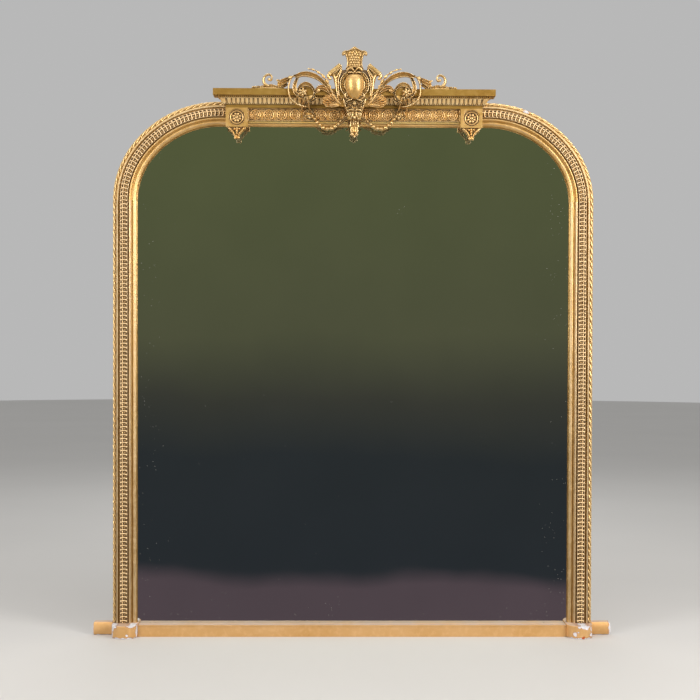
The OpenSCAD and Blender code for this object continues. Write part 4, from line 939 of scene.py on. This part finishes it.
def husk_chains(material):
    """A chain of husks that climbs over each scroll, each husk with a bead behind it."""
    chain = [(-138, 1731.2, 5, 7), (-124.5, 1728.8, 6.5, 10), (-109, 1721, 8, 13), (-94, 1709, 9.5, 14),
             (-82.5, 1694, 10, 14), (-75, 1678.5, 9, 13), (-68, 1664, 8, 12)]
    husks = []
    for (x, z, width, length), (next_x, next_z, *_) in zip(chain, chain[1:] + [(-62, 1651)]):
        a = math.atan2(next_z - z, next_x - x)
        behind = (x - math.cos(a) * length * 0.55, 4, z - math.sin(a) * length * 0.55)
        husks += [husk(x, z, 4, a, length, width), ball(behind, (width * 0.22,) * 3, 10)]
    thread = rib([(x, z, 1.5, 3.2, 4.5) for x, z, _, _ in chain] + [(-60, 1648, 0, 3, 4)], steps=5)
    twig = rib([(-66, 1656, -2, 6, 9), (-72, 1668, -1, 6, 8), (-80, 1684, -1, 5, 7), (-90, 1698, -1, 4, 6)],
               steps=5)
    carve_pair("carved_husks", moved(join(thread, twig, *husks), p=CREST_P), material, "husk_chain",
               voxel=0.7, marks=0.1, seed=2.0)


def cornice_curls(material):
    """A tendril that ends in a curl, the leaf cup it grows from, and small leaves at its foot."""
    tendril = rib([(-203, 1688, 2, 8, 10), (-214, 1680.5, 2, 8, 9), (-228, 1678, 1, 7, 8),
                   (-242, 1681, 0, 8, 8), (-254, 1683.5, 0, 8, 8), (-266, 1679, 0, 6, 7)], LEAF, 6, flutes=9)
    cup = rib([(-193, 1705, 5, 9, 9), (-203, 1700, 4, 15, 11), (-216, 1694, 3, 18, 11),
               (-226, 1690, 2, 17, 9), (-233, 1690, 1, 9, 5)], LEAF)
    tips = [rib([(-222, 1696, 2, 9, 9), (-231, 1698.5, 1, 6, 6), (-237, 1700.5, 1, 2, 3)], LEAF, 4),
            rib([(-222, 1684, 2, 9, 9), (-230, 1683, 1, 6, 6), (-236, 1680, 0, 2, 3)], LEAF, 4)]
    curl = rib([(-258, 1681, 0, 9, 9), (-266.5, 1683.5, 0, 10, 10), (-272.8, 1690.5, 0, 9.5, 10),
                (-275, 1699.5, 0, 8.5, 10), (-272.5, 1708.8, 0, 7.5, 10), (-266, 1714.6, 0, 7, 10),
                (-258.3, 1716.4, 0, 6.6, 10), (-252, 1712.8, 0, 6.2, 9), (-249.8, 1706, 0, 6, 9),
                (-251.6, 1699.8, 0, 5.5, 9), (-256, 1697.8, 0, 5, 8)], DOME, 7)
    eye = ball((-258.3, 5.5, 1701.2), (4.8, 5.4, 4.8))
    leaves = [rib([(x0, 1675.5, -1, w, 7), ((x0 + x1) / 2, 1679, 0, w, 8), (x1, 1677, 0, 3, 4)], LEAF, 4)
              for x0, x1, w in ((-268, -288, 9), (-282, -300, 7), (-294, -311, 5))]
    foot = rib([(-212, 1672.8, 0, 5, 5), (-240, 1674, 0, 6, 6), (-268, 1675, 0, 8, 7),
                (-300, 1673.5, 0, 5, 4), (-312, 1672.8, 0, 3, 3)], steps=5)
    shape = join(tendril, cup, *tips, curl, eye, *leaves, foot)
    carve_pair("carved_curl", moved(shape, p=CREST_P - 14), material, "cornice_curl", voxel=0.75, seed=3.0)


def cartouche(material, boss_material):
    """A moulded ring with a row of pearls in it, about a boss like a barrel that draws in to a neck below."""
    z, p = CARTOUCHE_Z, CREST_P
    rim = lathe([(0, 45), (4.5, 45), (6.6, 44.4), (7.4, 43.2), (6.6, 42.1), (3.4, 41.6), (3.2, 32.2),
                 (5.4, 31.4), (6.2, 29.9), (5.2, 28.4), (3.0, 27.6), (3.0, 0.2)], (0, p, z), n=160)
    ornament("carved_cartouche_rim", rim, material, "cartouche_rim", marks=(0.2, 200, 6.0), worn=(3, 0.5))
    count = 50
    pearl = ball((36.9, p + 3.8, z), (4.2, 3.1, 1.85), 12)
    pearls = [spun(pearl, 360 * (i + 0.5) / count, (0, z)) for i in range(count)]
    ornament("carved_pearls", join(*pearls), material, "cartouche_pearls")
    profile = [(-46.5, 2), (-45, 8), (-42, 13.5), (-37.5, 18), (-31, 22), (-22, 25.6), (-11, 27.7), (1, 28.3),
               (11, 28), (18.5, 26.4), (24, 23.2), (27.5, 17.5), (29.3, 9), (29.8, 0.3)]
    boss = lathe(smooth_rows(profile, 5), (0, p + 4, z), (0, 0, 1), 72)
    boss[0][:, 1] = p + 4 + (boss[0][:, 1] - p - 4) * 0.97
    ornament("carved_boss", boss, boss_material, "cartouche_boss", marks=(0.35, 45, 1.0))


def straps(material):
    """Strapwork beside the cartouche: a band that widens upwards and rolls over outwards."""
    body = plate([(-44, 1638), (-47, 1654), (-49, 1683), (-46.5, 1706), (-37, 1729), (-40, 1741), (-80, 1716),
                  (-66, 1708), (-61, 1690), (-57, 1668), (-53, 1652), (-50, 1638)], -2, 7, 2)
    ridge = rib([(-49, 1642, 5, 4, 4), (-53, 1660, 6, 5, 6), (-55.5, 1680, 6, 6, 7), (-57, 1698, 6, 7, 7),
                 (-60.5, 1709, 6, 8, 7), (-66, 1717, 6, 8, 6)])
    branch = rib([(-57, 1700, 5, 5, 6), (-51, 1712, 5, 6, 6), (-43, 1726, 5, 6, 6), (-40, 1735, 5, 4, 5)],
                 DOME, 5)
    edge = rib([(-47, 1650, 4, 3, 5), (-49.5, 1683, 4, 3, 5), (-47, 1706, 4, 3, 5), (-38.5, 1727, 4, 3, 5)],
               steps=5)
    start, end = Vector((-78.0, 8, 1713.5)), Vector((-41.5, 8, 1743.0))
    length = (end - start).length
    roll = lathe([(0, 5), (1.2, 6.6), (4, 7.2), (length - 4, 7.2), (length - 1.2, 6.6), (length, 5)], start,
                 end - start, 24)
    hoops = [lathe([(t, 7.4), (t + 1.0, 8.0), (t + 2.0, 7.4)], start, end - start, 24)
             for t in (1.2, length - 3.2)]
    lip = rib([(-66, 1712.5, 11, 3, 5), (-53, 1724, 12, 3.4, 5), (-38.5, 1737.5, 11, 3, 5)], steps=5)
    tail = rib([(-80, 1714, 5, 10, 9), (-78.5, 1706, 5, 10, 9), (-74, 1701.5, 4, 8, 8),
                (-69.5, 1703, 4, 5, 6)], steps=5)
    collar = rib([(-36, 1641, 0, 6, 9), (-46, 1644.5, 1, 8, 11), (-56, 1652, 1, 8, 11), (-64, 1660, 1, 5, 8)],
                 LEAF, 5)
    shape = join(body, ridge, branch, edge, roll, *hoops, lip, tail, collar)
    carve_pair("carved_strap", moved(shape, p=CREST_P), material, "strap", marks=0.15, seed=5.0)


def finial(material):
    """A crown-like palmette: a waisted neck with scales, a pointed top and a curl at each upper corner."""
    right = [(30, 1732), (26, 1741), (24, 1754), (24.5, 1765), (28, 1774), (33, 1781), (31, 1786.5),
             (20, 1787), (10, 1792.5), (4, 1798.5)]
    parts = [plate(right + [(0, 1799.6)] + [(-x, z) for x, z in reversed(right)], -8, 7, 2.5)]
    for row in range(6):
        z = 1743 + row * 7.6
        n = 4 if row % 2 else 5
        half_w = 19 + max(0, row - 3) * 2.6
        for x in ((i - (n - 1) / 2) * half_w * 2 / 5 for i in range(n)):
            parts += [ball((x, 6.5, z), (3.5, 3.4, 4.1), 10), torus((x, 7.0, z), 3.9, 0.9, 14, 6)]
    curl = rib([(25, 1735, 0, 5, 10), (23.5, 1750, 1, 5, 10), (25, 1765, 1, 6, 10), (29.5, 1776, 1, 7, 10),
                (36, 1782, 1, 8, 10), (40, 1777, 1, 7, 9), (37, 1771.5, 1, 5, 8)])
    brow = rib([(34, 1785, 1, 5, 8), (22, 1785, 2, 5, 8), (10, 1791, 2, 5, 8), (0, 1797, 1, 5, 7)], steps=5)
    # the two leaf tips that turn over at its foot
    tips = [
        rib([(27, 1725, 4, 7, 10), (17, 1732.5, 9, 10, 9), (9, 1731, 11, 8, 8), (3, 1724.5, 9, 3, 6)]),
        rib([(22, 1719, 5, 5, 8), (12, 1720.5, 9, 6, 8), (3, 1716.5, 9, 3, 6)], steps=5)]
    half = join(curl, ball((36, 6, 1776), (4.4, 5, 4.4)), brow, *tips)
    parts += [half, mirrored(half), torus((0, 7, 1776), 7.5, 1.8, 24, 8, z_scale=1.2),
              ball((0, 7, 1776), (4.4, 4.6, 5.6)), ball((0, 5, 1792), (3.2, 4, 3.6)),
              ball((0, 11, 1721.5), (3.6, 4.5, 3.8)),
              rib([(-17, 1739, 4, 5, 7), (0, 1736.5, 5, 6, 8), (17, 1739, 4, 5, 7)], steps=5)]
    shape = moved(join(*parts), p=CREST_P)
    shape[0][:, 0] *= 0.9
    carve("carved_finial", shape, material, "finial_palmette", marks=0.15, seed=8.0)


def apron_palmette(material):
    """Ribbon scrolls under the cartouche and a palmette with a volute at each side below them."""
    volute = [rib([(14, 1639, 3, 5, 9), (22, 1641, 4, 6, 10), (28.5, 1648, 4, 6, 10), (27, 1656, 4, 5.5, 10),
                   (20, 1658, 4, 5, 9), (17, 1652.5, 4, 4, 8)]),
              ball((21.5, 8, 1652), (3.2, 4, 3.2))]
    ribbons = [rib([(29, 1639, -1, 5, 9), (25, 1630, 1, 6, 10), (15, 1625.5, 3, 6, 10), (6, 1629.5, 4, 5, 9),
                    (1, 1636, 3, 4, 8)], CHANNEL),
               rib([(24, 1634, 2, 4, 9), (15, 1636, 4, 5, 9), (7, 1641, 4, 4, 8)], steps=5)]
    stem = rib([(33, 1642, -2, 6, 10), (31, 1630, -3, 7, 11), (26, 1618, -10, 7, 14),
                (23, 1608, -16, 6, 16)])
    petals = [
        rib([(3, 1609, 0, 6, 10), (9, 1617, 2, 8, 10), (17, 1619, 2, 7, 9), (22, 1614, 0, 4, 7)], LEAF),
        rib([(3, 1605, 0, 5, 9), (10, 1609, 1, 6, 9), (19, 1607, 0, 5, 8), (24, 1601, -2, 3, 6)]),
        torus((13.5, 1.5, 1596.5), 5.6, 2.0, 28, 8), ball((13.5, 2.5, 1596.5), (3.3, 4, 3.3)),
        rib([(6, 1602, 0, 4, 8), (7, 1592, 0, 5, 9), (10, 1584, -2, 5, 8), (16, 1581, -4, 4, 6)])]
    # the leaf that leads out to the garland
    leaf = rib([(14, 1591, -12, 8, 12), (26, 1585, -24, 10, 13), (38, 1577, -36, 10, 12),
                (48, 1570, -42, 6, 9)], LEAF)
    half = join(*volute, *ribbons, stem, *petals, leaf)
    back = plate([(-20, 1626), (20, 1626), (24, 1608), (21, 1592), (10, 1582), (-10, 1582), (-21, 1592),
                  (-24, 1608)], -34, -1, 3)
    middle = rib([(0, 1626, 0, 10, 9), (0, 1616, 1, 12, 11), (0, 1604, 1, 9, 12), (0, 1592, 1, 8, 11),
                  (0, 1583, 0, 10, 9)], LEAF)
    shape = join(half, mirrored(half), back, middle, ball((0, 8, 1627), (5, 5, 5)),
                 ball((0, 7, 1585), (4.4, 4.6, 4.2)),
                 rib([(-11, 1590, 0, 3, 7), (0, 1588, 1, 4, 9), (11, 1590, 0, 3, 7)], steps=5))
    carve("carved_palmette", moved(shape, p=CREST_P), material, "mask_palmette", voxel=0.85, marks=0.15,
          seed=9.0)


def centre_drop(material):
    """A bellflower in two stages that hangs over the glass."""
    half = join(
        rib([(10, 1585, 2, 5, 9), (11, 1574, 3, 5, 9), (12, 1564.5, 3, 6, 9), (9, 1559, 3, 4, 8)], steps=5),
        rib([(9, 1561, 3, 4, 9), (10, 1551, 4, 5, 9), (7, 1544, 4, 5, 8)], steps=5),
        rib([(12, 1579, -2, 6, 8), (19, 1571, -3, 7, 8), (25, 1568, -5, 3, 5)], LEAF, 5),
        ball((6.5, 7, 1539.5), (5.6, 6, 6.2)), ball((6.5, 11.5, 1541), (2.6, 2.2, 3.0)))
    shape = join(
        half, mirrored(half), plate([(-12, 1585), (12, 1585), (11, 1564), (-11, 1564)], -2, 9, 2.5),
        plate([(-10.5, 1564), (10.5, 1564), (9.5, 1544), (-9.5, 1544)], -2, 11, 3),
        rib([(0, 1582, 7, 9, 5), (0, 1568, 7, 8, 5)], CHANNEL, 5),
        rib([(0, 1562, 9, 9, 5), (0, 1546, 9, 6, 4)], LEAF, 5), ball((0, 6, 1533.5), (3.2, 4, 4.6)))
    carve("carved_drop", moved(shape, p=FRIEZE_P + 12), material, "centre_drop", voxel=0.75, seed=4.0)


def fan_leaves(material):
    """A ribbed shell of leaves beside the cartouche, and the leaf that curls over above it."""
    root = np.array((-44, 1622.5))
    parts = []
    tips = [(-62, 1655), (-76, 1656), (-88, 1651), (-96, 1642), (-97, 1632), (-90, 1624.5), (-76, 1621)]
    for i, (x, z) in enumerate(tips):
        mid, near = (root + (np.array((x, z)) - root) * t for t in (0.5, 0.88))
        w = 9 if i in (0, 6) else 12
        parts.append(rib([(*root, -1, 4, 6), (*mid, 1, w, 9), (*near, 1.5, w * 1.15, 9), (x, z, 0, 3, 6)],
                         LEAF, 6))
    back = plate([(-46, 1620), (-60, 1650), (-76, 1651), (-90, 1642), (-90, 1628), (-74, 1622)], -4, 1.5, 1)
    curl = rib([(-60, 1654, -1, 6, 8), (-72, 1661, 1, 12, 10), (-85, 1670, 3, 15, 12), (-98, 1675, 3, 15, 12),
                (-109, 1673, 3, 12, 11), (-114, 1666, 2, 8, 9), (-110, 1660.5, 1, 5, 7)], LEAF, 7)
    eye = ball((-108, 6, 1667), (5.2, 6, 5.2))
    stem = rib([(-40, 1624, 0, 6, 9), (-52, 1636, 0, 7, 10), (-62, 1650, 0, 8, 10), (-70, 1663, -1, 6, 8)],
               steps=5)
    shape = join(*parts, back, curl, eye, stem)
    carve_pair("carved_fan", moved(shape, p=CREST_P), material, "fan_leaf", seed=7.0)


def bellflowers(material):
    """A scalloped bell on the frieze under each scroll."""
    x, top = -137.0, 1619.0
    parts = [lathe([(0, 3), (4, 8), (9, 10), (14, 9), (18, 3)], (x, -6, top - 8), (0, 0.3, -1), 16)]
    for k, w in ((-1, 9), (-0.45, 9), (0.1, 10), (0.6, 9), (1.05, 8)):
        parts.append(rib([(x + k * 3, top - 3, -2, 5, 8), (x + k * 11, top - 13, 0, w, 9),
                          (x + k * 18, top - 25, 0, w, 8), (x + k * 21, top - 33 + abs(k) * 6, -1, 3, 5)],
                         LEAF, 5))
    parts.append(ball((x + 1, 3, top - 27), (4, 5, 5)))
    carve_pair("carved_bellflower", moved(join(*parts), p=FRIEZE_P), material, "bellflower", voxel=0.75,
               seed=2.5)


def garlands(material):
    """A swag of small leaves on a cord, from the bellflower to the palmette."""
    path = smooth_rows([(-131, 1602, 0), (-122.5, 1589, 0), (-111, 1575, 1), (-96, 1562, 1), (-78, 1557.5, 1),
                        (-60, 1564, 1), (-41, 1580, 2), (-29, 1594, 4)], 12)
    run = lengths_along(path)
    parts = [rib([(*r, 5, 8) for r in path[::6]], DOME, 4)]
    count = 11
    for i in range(count):
        t = run[-1] * (i + 0.5) / count
        x, z, out = (np.interp(t, run, path[:, axis]) for axis in range(3))
        k = np.searchsorted(run, t)
        dx, dz = path[min(k + 1, len(path) - 1)][:2] - path[k - 1][:2]
        lean = math.atan2(dz, dx) + (0.3 if i % 2 else -0.45)
        size = 0.75 + 0.45 * math.sin(math.pi * (i + 0.5) / count)
        c, d = math.cos(lean) * size, math.sin(lean) * size
        rows = [(-7, 1, 4, 6), (-2, 2, 10 * size, 11), (3, 2, 9.5 * size, 11), (8.5, 1, 2.5, 5)]
        parts.append(rib([(x + c * on, z + d * on, out + up, w, h) for on, up, w, h in rows], steps=5))
    carve_pair("carved_garland", moved(join(*parts), p=FRIEZE_P), material, "garland", voxel=0.65, marks=0.1,
               seed=6.5, depth=0.5)


# ---- Plinth: worn copies of the model's own solids, with gesso showing where the gilding has gone ----
PLINTH_VOXEL = 1.3


def worn_copy(node, chips, material):
    """A worn copy of one of the model's own solids, a little sunk where its gesso is bare."""
    obj = linked("worn_" + node, nodes[node].data.copy())
    obj.modifiers.new("weld", "WELD").merge_threshold = 1e-5
    melt(obj, PLINTH_VOXEL, soften=2)
    co, nor = read_points(obj.data)
    chip = chips(co / MM)
    store(obj.data, "chip", chip)
    sunk = 0.7 * np.clip((np.abs(chip) - 0.45) / 0.1, 0, 1)
    wave = np.array([noise.noise(Vector(c) * 60) for c in co]) * 0.25
    obj.data.vertices.foreach_set("co", (co - nor * (sunk - wave + 0.15)[:, None] * MM).ravel())
    obj.data.update()
    finish_piece(obj, material, "bronze_gilding", node)


CHIPS_FROM_P = 40
BLOCK_LOSSES = {
    -1: (((731, 38), (10, 6)), ((735, 29), (5, 8)), ((738.5, 14), (3.4, 22)), ((674, 38), (13, 4.6)),
         ((662, 19), (2.8, 16)), ((688.5, 11), (3.6, 3.6)), ((702, 0), (38, 4.4))),
    1: (((708, 37), (18, 4.8)), ((717, 33), (8, 4)), ((733, 29), (2.6, 8)), ((682, 14), (5.5, 6)),
        ((691, 21), (2.4, 2.4)), ((735, 10), (7, 6)), ((702, 0), (42, 4.6)))}
BOLE_SPOT = ((706.5, 4), (5, 5))
EAR_END_LOSS = {-1: ((803, 20), (3, 26)), 1: ((803, 20), (7, 26))}
EAR_FOOT_LOSS = ((775, 0), (40, 2))


def block_chips(sign):
    """Gesso bared at a block's corners, along its bottom edge and in a few spots, but not near the wall."""
    def chips(co):
        local = co * (sign, 1, 1)
        front = -co[:, 1] > CHIPS_FROM_P
        rough = ragged(co, 0.13, 7 * sign) * 0.3 + ragged(co, 0.4, 3 * sign) * 0.15
        c = np.maximum.reduce([patch(local, at, radii) for at, radii in BLOCK_LOSSES[sign]])
        worn = np.where(front, np.maximum(c + rough * (0.5 + 0.5 * (c > 0.25)), 0), 0)
        bared = patch(local, *BOLE_SPOT) + rough if sign > 0 else 0
        return np.where(front & (bared > 0.5), -1, worn)
    return chips


def ear_chips(sign):
    """Pale wear down an ear's end and along its lower edge."""
    def chips(co):
        local = co * (sign, 1, 1)
        rough = ragged(co, 0.09, 5 * sign) * 0.3 + ragged(co, 0.3, sign) * 0.15
        end, foot = patch(local, *EAR_END_LOSS[sign]), patch(local, *EAR_FOOT_LOSS) * 0.9
        return np.maximum(np.maximum(end, foot) + rough, 0)
    return chips


def plinth(material):
    """The two bow-fronted blocks and the two ears."""
    for part, chips in (("block", block_chips), ("ear", ear_chips)):
        for side, sign in SIDES:
            worn_copy(f"plinth_{part}_{side}", chips(sign), material)


def set_material(material, *names):
    """Gives a material to nodes of the model that are shown as they are."""
    for name in names:
        mesh = nodes[name].data
        mesh.materials.clear()
        mesh.materials.append(material)


# ---- Stage ----
# What the glass reflects, from the floor up: (place, colour)
CURTAIN_TONES = (
    (0.0, (0.42, 0.37, 0.30)), (0.02, (0.092, 0.066, 0.080)), (0.125, (0.092, 0.066, 0.080)),
    (0.155, (0.024, 0.028, 0.034)), (0.36, (0.026, 0.030, 0.034)), (0.46, (0.046, 0.046, 0.038)),
    (0.58, (0.088, 0.090, 0.052)), (0.95, (0.10, 0.112, 0.05)))
# Each light's name, place and target in metres, size, power and colour
LIGHTS = (
    ("light_left", (-2.4, -2.3, 1.9), (0, 0, 1.25), (1.3, 1.9), 56, (1.0, 0.95, 0.91)),
    ("light_right", (2.4, -2.3, 1.9), (0, 0, 1.25), (1.3, 1.9), 84, (1.0, 0.95, 0.91)),
    ("light_front", (0, -4.6, 3.2), (0, 0, 1.1), (4.4, 1.0), 20, (1.0, 0.95, 0.90)),
    ("light_above", (0, -1.4, 4.2), (0, 0, 1.2), (3.0, 1.0), 24, (1.0, 0.97, 0.93)),
    ("light_back", (0, 3.4, 3.2), (0, 0, 0.9), (3.0, 1.6), 40, (1, 1, 1)))


def make_floor(radius=14.0, n=64):
    """A round pale floor, which reflections don't see."""
    mesh = bpy.data.meshes.new("floor")
    turns = [2 * math.pi * i / n for i in range(n)]
    mesh.from_pydata([(radius * math.cos(a), radius * math.sin(a), 0) for a in turns], [], [tuple(range(n))])
    s = Shader("floor")
    pale = (0.62, 0.61, 0.59)
    s.surface(s.mix(s.ramp(s.noise(0.9, 3), (0.3, 0.0), (0.7, 1.0)), pale, tuple(c * 0.96 for c in pale)))
    s.bsdf.inputs["Roughness"].default_value = 0.9
    mesh.materials.append(s.material)
    obj = linked("floor", mesh)
    obj.visible_glossy = False


def make_curtain(radius=8.0, n=48):
    """A half-round curtain in front of the mirror, which only reflections see: dim green above and dark
    below, and the pale floor under it that lights the undersides."""
    heights = (-3.0, -1.2, -0.5, 0.2, 0.9, 1.6, 2.6, 4.0, 7.0)
    turns = np.linspace(math.pi, 2 * math.pi, n + 1)
    pts = [(radius * math.cos(a), radius * math.sin(a), z) for z in heights for a in turns]
    mesh = bpy.data.meshes.new("curtain")
    mesh.from_pydata(pts, [], grid_faces(len(heights), n + 1) + [tuple(range(n + 1))])
    s = Shader("curtain")
    height = s.node("ShaderNodeMapRange")
    height.inputs["From Min"].default_value, height.inputs["From Max"].default_value = -2.0, 3.0
    s.link(s.axis("Z"), height.inputs["Value"])
    level = s.plus(height.outputs["Result"], s.times(s.minus(s.noise(0.55, 3), 0.5), 0.1))
    glow = s.node("ShaderNodeEmission")
    s.link(s.ramp(level, *CURTAIN_TONES), glow.inputs["Color"])
    glow.inputs["Strength"].default_value = 1.0
    s.link(glow.outputs["Emission"], s.out.inputs["Surface"])
    mesh.materials.append(s.material)
    obj = linked("curtain", mesh)
    for sort in ("camera", "diffuse", "shadow", "transmission", "volume_scatter"):
        setattr(obj, "visible_" + sort, False)


def area_light(name, place, target, size, power, colour):
    """A rectangular light that looks at its target."""
    data = bpy.data.lights.new(name, "AREA")
    data.shape = "RECTANGLE"
    data.size, data.size_y = size
    data.energy, data.color = power, colour
    obj = linked(name, data)
    obj.location = place
    obj.rotation_mode = "QUATERNION"
    obj.rotation_quaternion = (Vector(target) - Vector(place)).to_track_quat("-Z", "Y")


def make_stage():
    """The floor, what the mirror reflects, an even grey world and the lights."""
    make_floor()
    make_curtain()
    world = bpy.data.worlds.new("world")
    bpy.context.scene.world = world
    world.use_nodes = True
    background = world.node_tree.nodes["Background"]
    background.inputs["Color"].default_value = (0.80, 0.80, 0.80, 1)
    background.inputs["Strength"].default_value = 0.6
    for light in LIGHTS:
        area_light(*light)
    bpy.context.scene.view_settings.view_transform = "Standard"


# ---- Build ----
make_camera()
make_stage()

FLAT = dict(tone=(0.67, 0.42, 0.14), deep=(0.56, 0.32, 0.08), pale=(0.82, 0.61, 0.33), bare=False)
wood_gold = gilded("gilded_wood", rough=0.44, crevice=0.010, **FLAT)
stile_gold = gilded("gilded_stile", rough=0.40, crevice=0.010, where="stile", **FLAT)
arch_gold = gilded("gilded_arch", (0.80, 0.51, 0.18), (0.68, 0.39, 0.10), (0.90, 0.68, 0.37), bare=False,
                   crevice=0.010, where="arch")
rail_gold = gilded("gilded_rail", (0.94, 0.58, 0.20), (0.84, 0.46, 0.12), (0.98, 0.74, 0.36), 0.45,
                   bare=False, rough=0.40, crevice=0.004, where="rail")
carved_gold = gilded("gilded_carving", rough=0.38, crevice=0.008)
crest_gold = gilded("gilded_crest", (0.76, 0.49, 0.17), (0.58, 0.33, 0.08), (0.97, 0.78, 0.46), 0.86,
                    rough=0.38, crevice=0.010)
# Painted shade: a darker gold for the finial alone, as its upright front catches less light.
shaded_finial_gold = gilded("gilded_finial_painted_shade", (0.58, 0.36, 0.12), (0.43, 0.24, 0.06), (0.84, 0.62, 0.32), 0.8,
                     rough=0.44, crevice=0.010)
band_gold = gilded("gilded_band", (0.74, 0.47, 0.19), (0.58, 0.33, 0.10), (0.93, 0.72, 0.44), 0.62, rough=0.5,
                   crevice=0.006, bole=0.35)
rope_gold = gilded("gilded_rope", (0.84, 0.46, 0.11), (0.70, 0.36, 0.07), (0.98, 0.74, 0.38), 0.68,
                   rough=0.44, crevice=0.010, chips=gesso_chips)
# Painted light: a brighter gold with less crevice darkening, for tongues that the cornice keeps in shade.
lit_tongue_gold = gilded("gilded_tongues_painted_light", (0.97, 0.64, 0.26), (0.86, 0.50, 0.16), (0.99, 0.80, 0.46), 0.62,
                     rough=0.40, crevice=0.005)
# Painted light: a paler gold for the bead, which the cornice above keeps in shade.
lit_bead_gold = gilded("gilded_bead_painted_light", (0.99, 0.74, 0.28), (0.94, 0.62, 0.18), (0.99, 0.84, 0.46), 0.4, rough=0.36,
                   crevice=0.002, bole=0.2)
fascia_gold = gilded("gilded_fascia", (0.38, 0.23, 0.050), (0.31, 0.17, 0.03), (0.48, 0.31, 0.10), bare=False,
                     rough=0.52, crevice=0.010)
boss_gold = gilded("gilded_boss", (0.76, 0.50, 0.20), (0.62, 0.37, 0.11), shine=0.6, rough=0.36,
                   crevice=0.006, bole=0.1)
bronze = gold("bronze_gilding", (0.80, 0.48, 0.20), (0.74, 0.42, 0.15), (0.92, 0.62, 0.32),
              (0.16, 0.08, 0.03), 0.5, 0.008, 0.2, shine=0.45, chips=dusty_chips).material

set_material(stile_gold, "stile_left", "stile_right")
set_material(arch_gold, "arch_left", "arch_right")
set_material(rail_gold, "top_rail")
set_material(wood_gold, "corner_block_left", "corner_block_right", "crest_apron")
set_material(fascia_gold, "cornice")
set_material(bronze, "plinth_rail")
set_material(mirror_glass(), "mirror_plate")
set_material(pine("backboard_pine", "Z"), "backboards")
set_material(pine("block_pine", "X"), "glazing_blocks", "joint_dowels")
set_material(pine("crest_pine", "X", (0.40, 0.26, 0.13)), "crest_board")
set_material(worn_shaded_metal("brass", (0.62, 0.47, 0.20), (0.22, 0.15, 0.06), 0.30), "hanging_plates",
             "hanging_screws")
set_material(worn_shaded_metal("iron", (0.16, 0.14, 0.13), (0.10, 0.05, 0.03), 0.5), "backboard_nails")

frame_mouldings(band_gold, rope_gold)
tongues(lit_tongue_gold)
dentils(carved_gold)
frieze(carved_gold, lit_bead_gold)
paterae(carved_gold)
block_drops(carved_gold)
scrolls(crest_gold)
husk_chains(crest_gold)
cornice_curls(crest_gold)
cartouche(crest_gold, boss_gold)
straps(crest_gold)
finial(shaded_finial_gold)
apron_palmette(crest_gold)
centre_drop(crest_gold)
fan_leaves(carved_gold)
bellflowers(crest_gold)
garlands(crest_gold)
plinth(bronze)
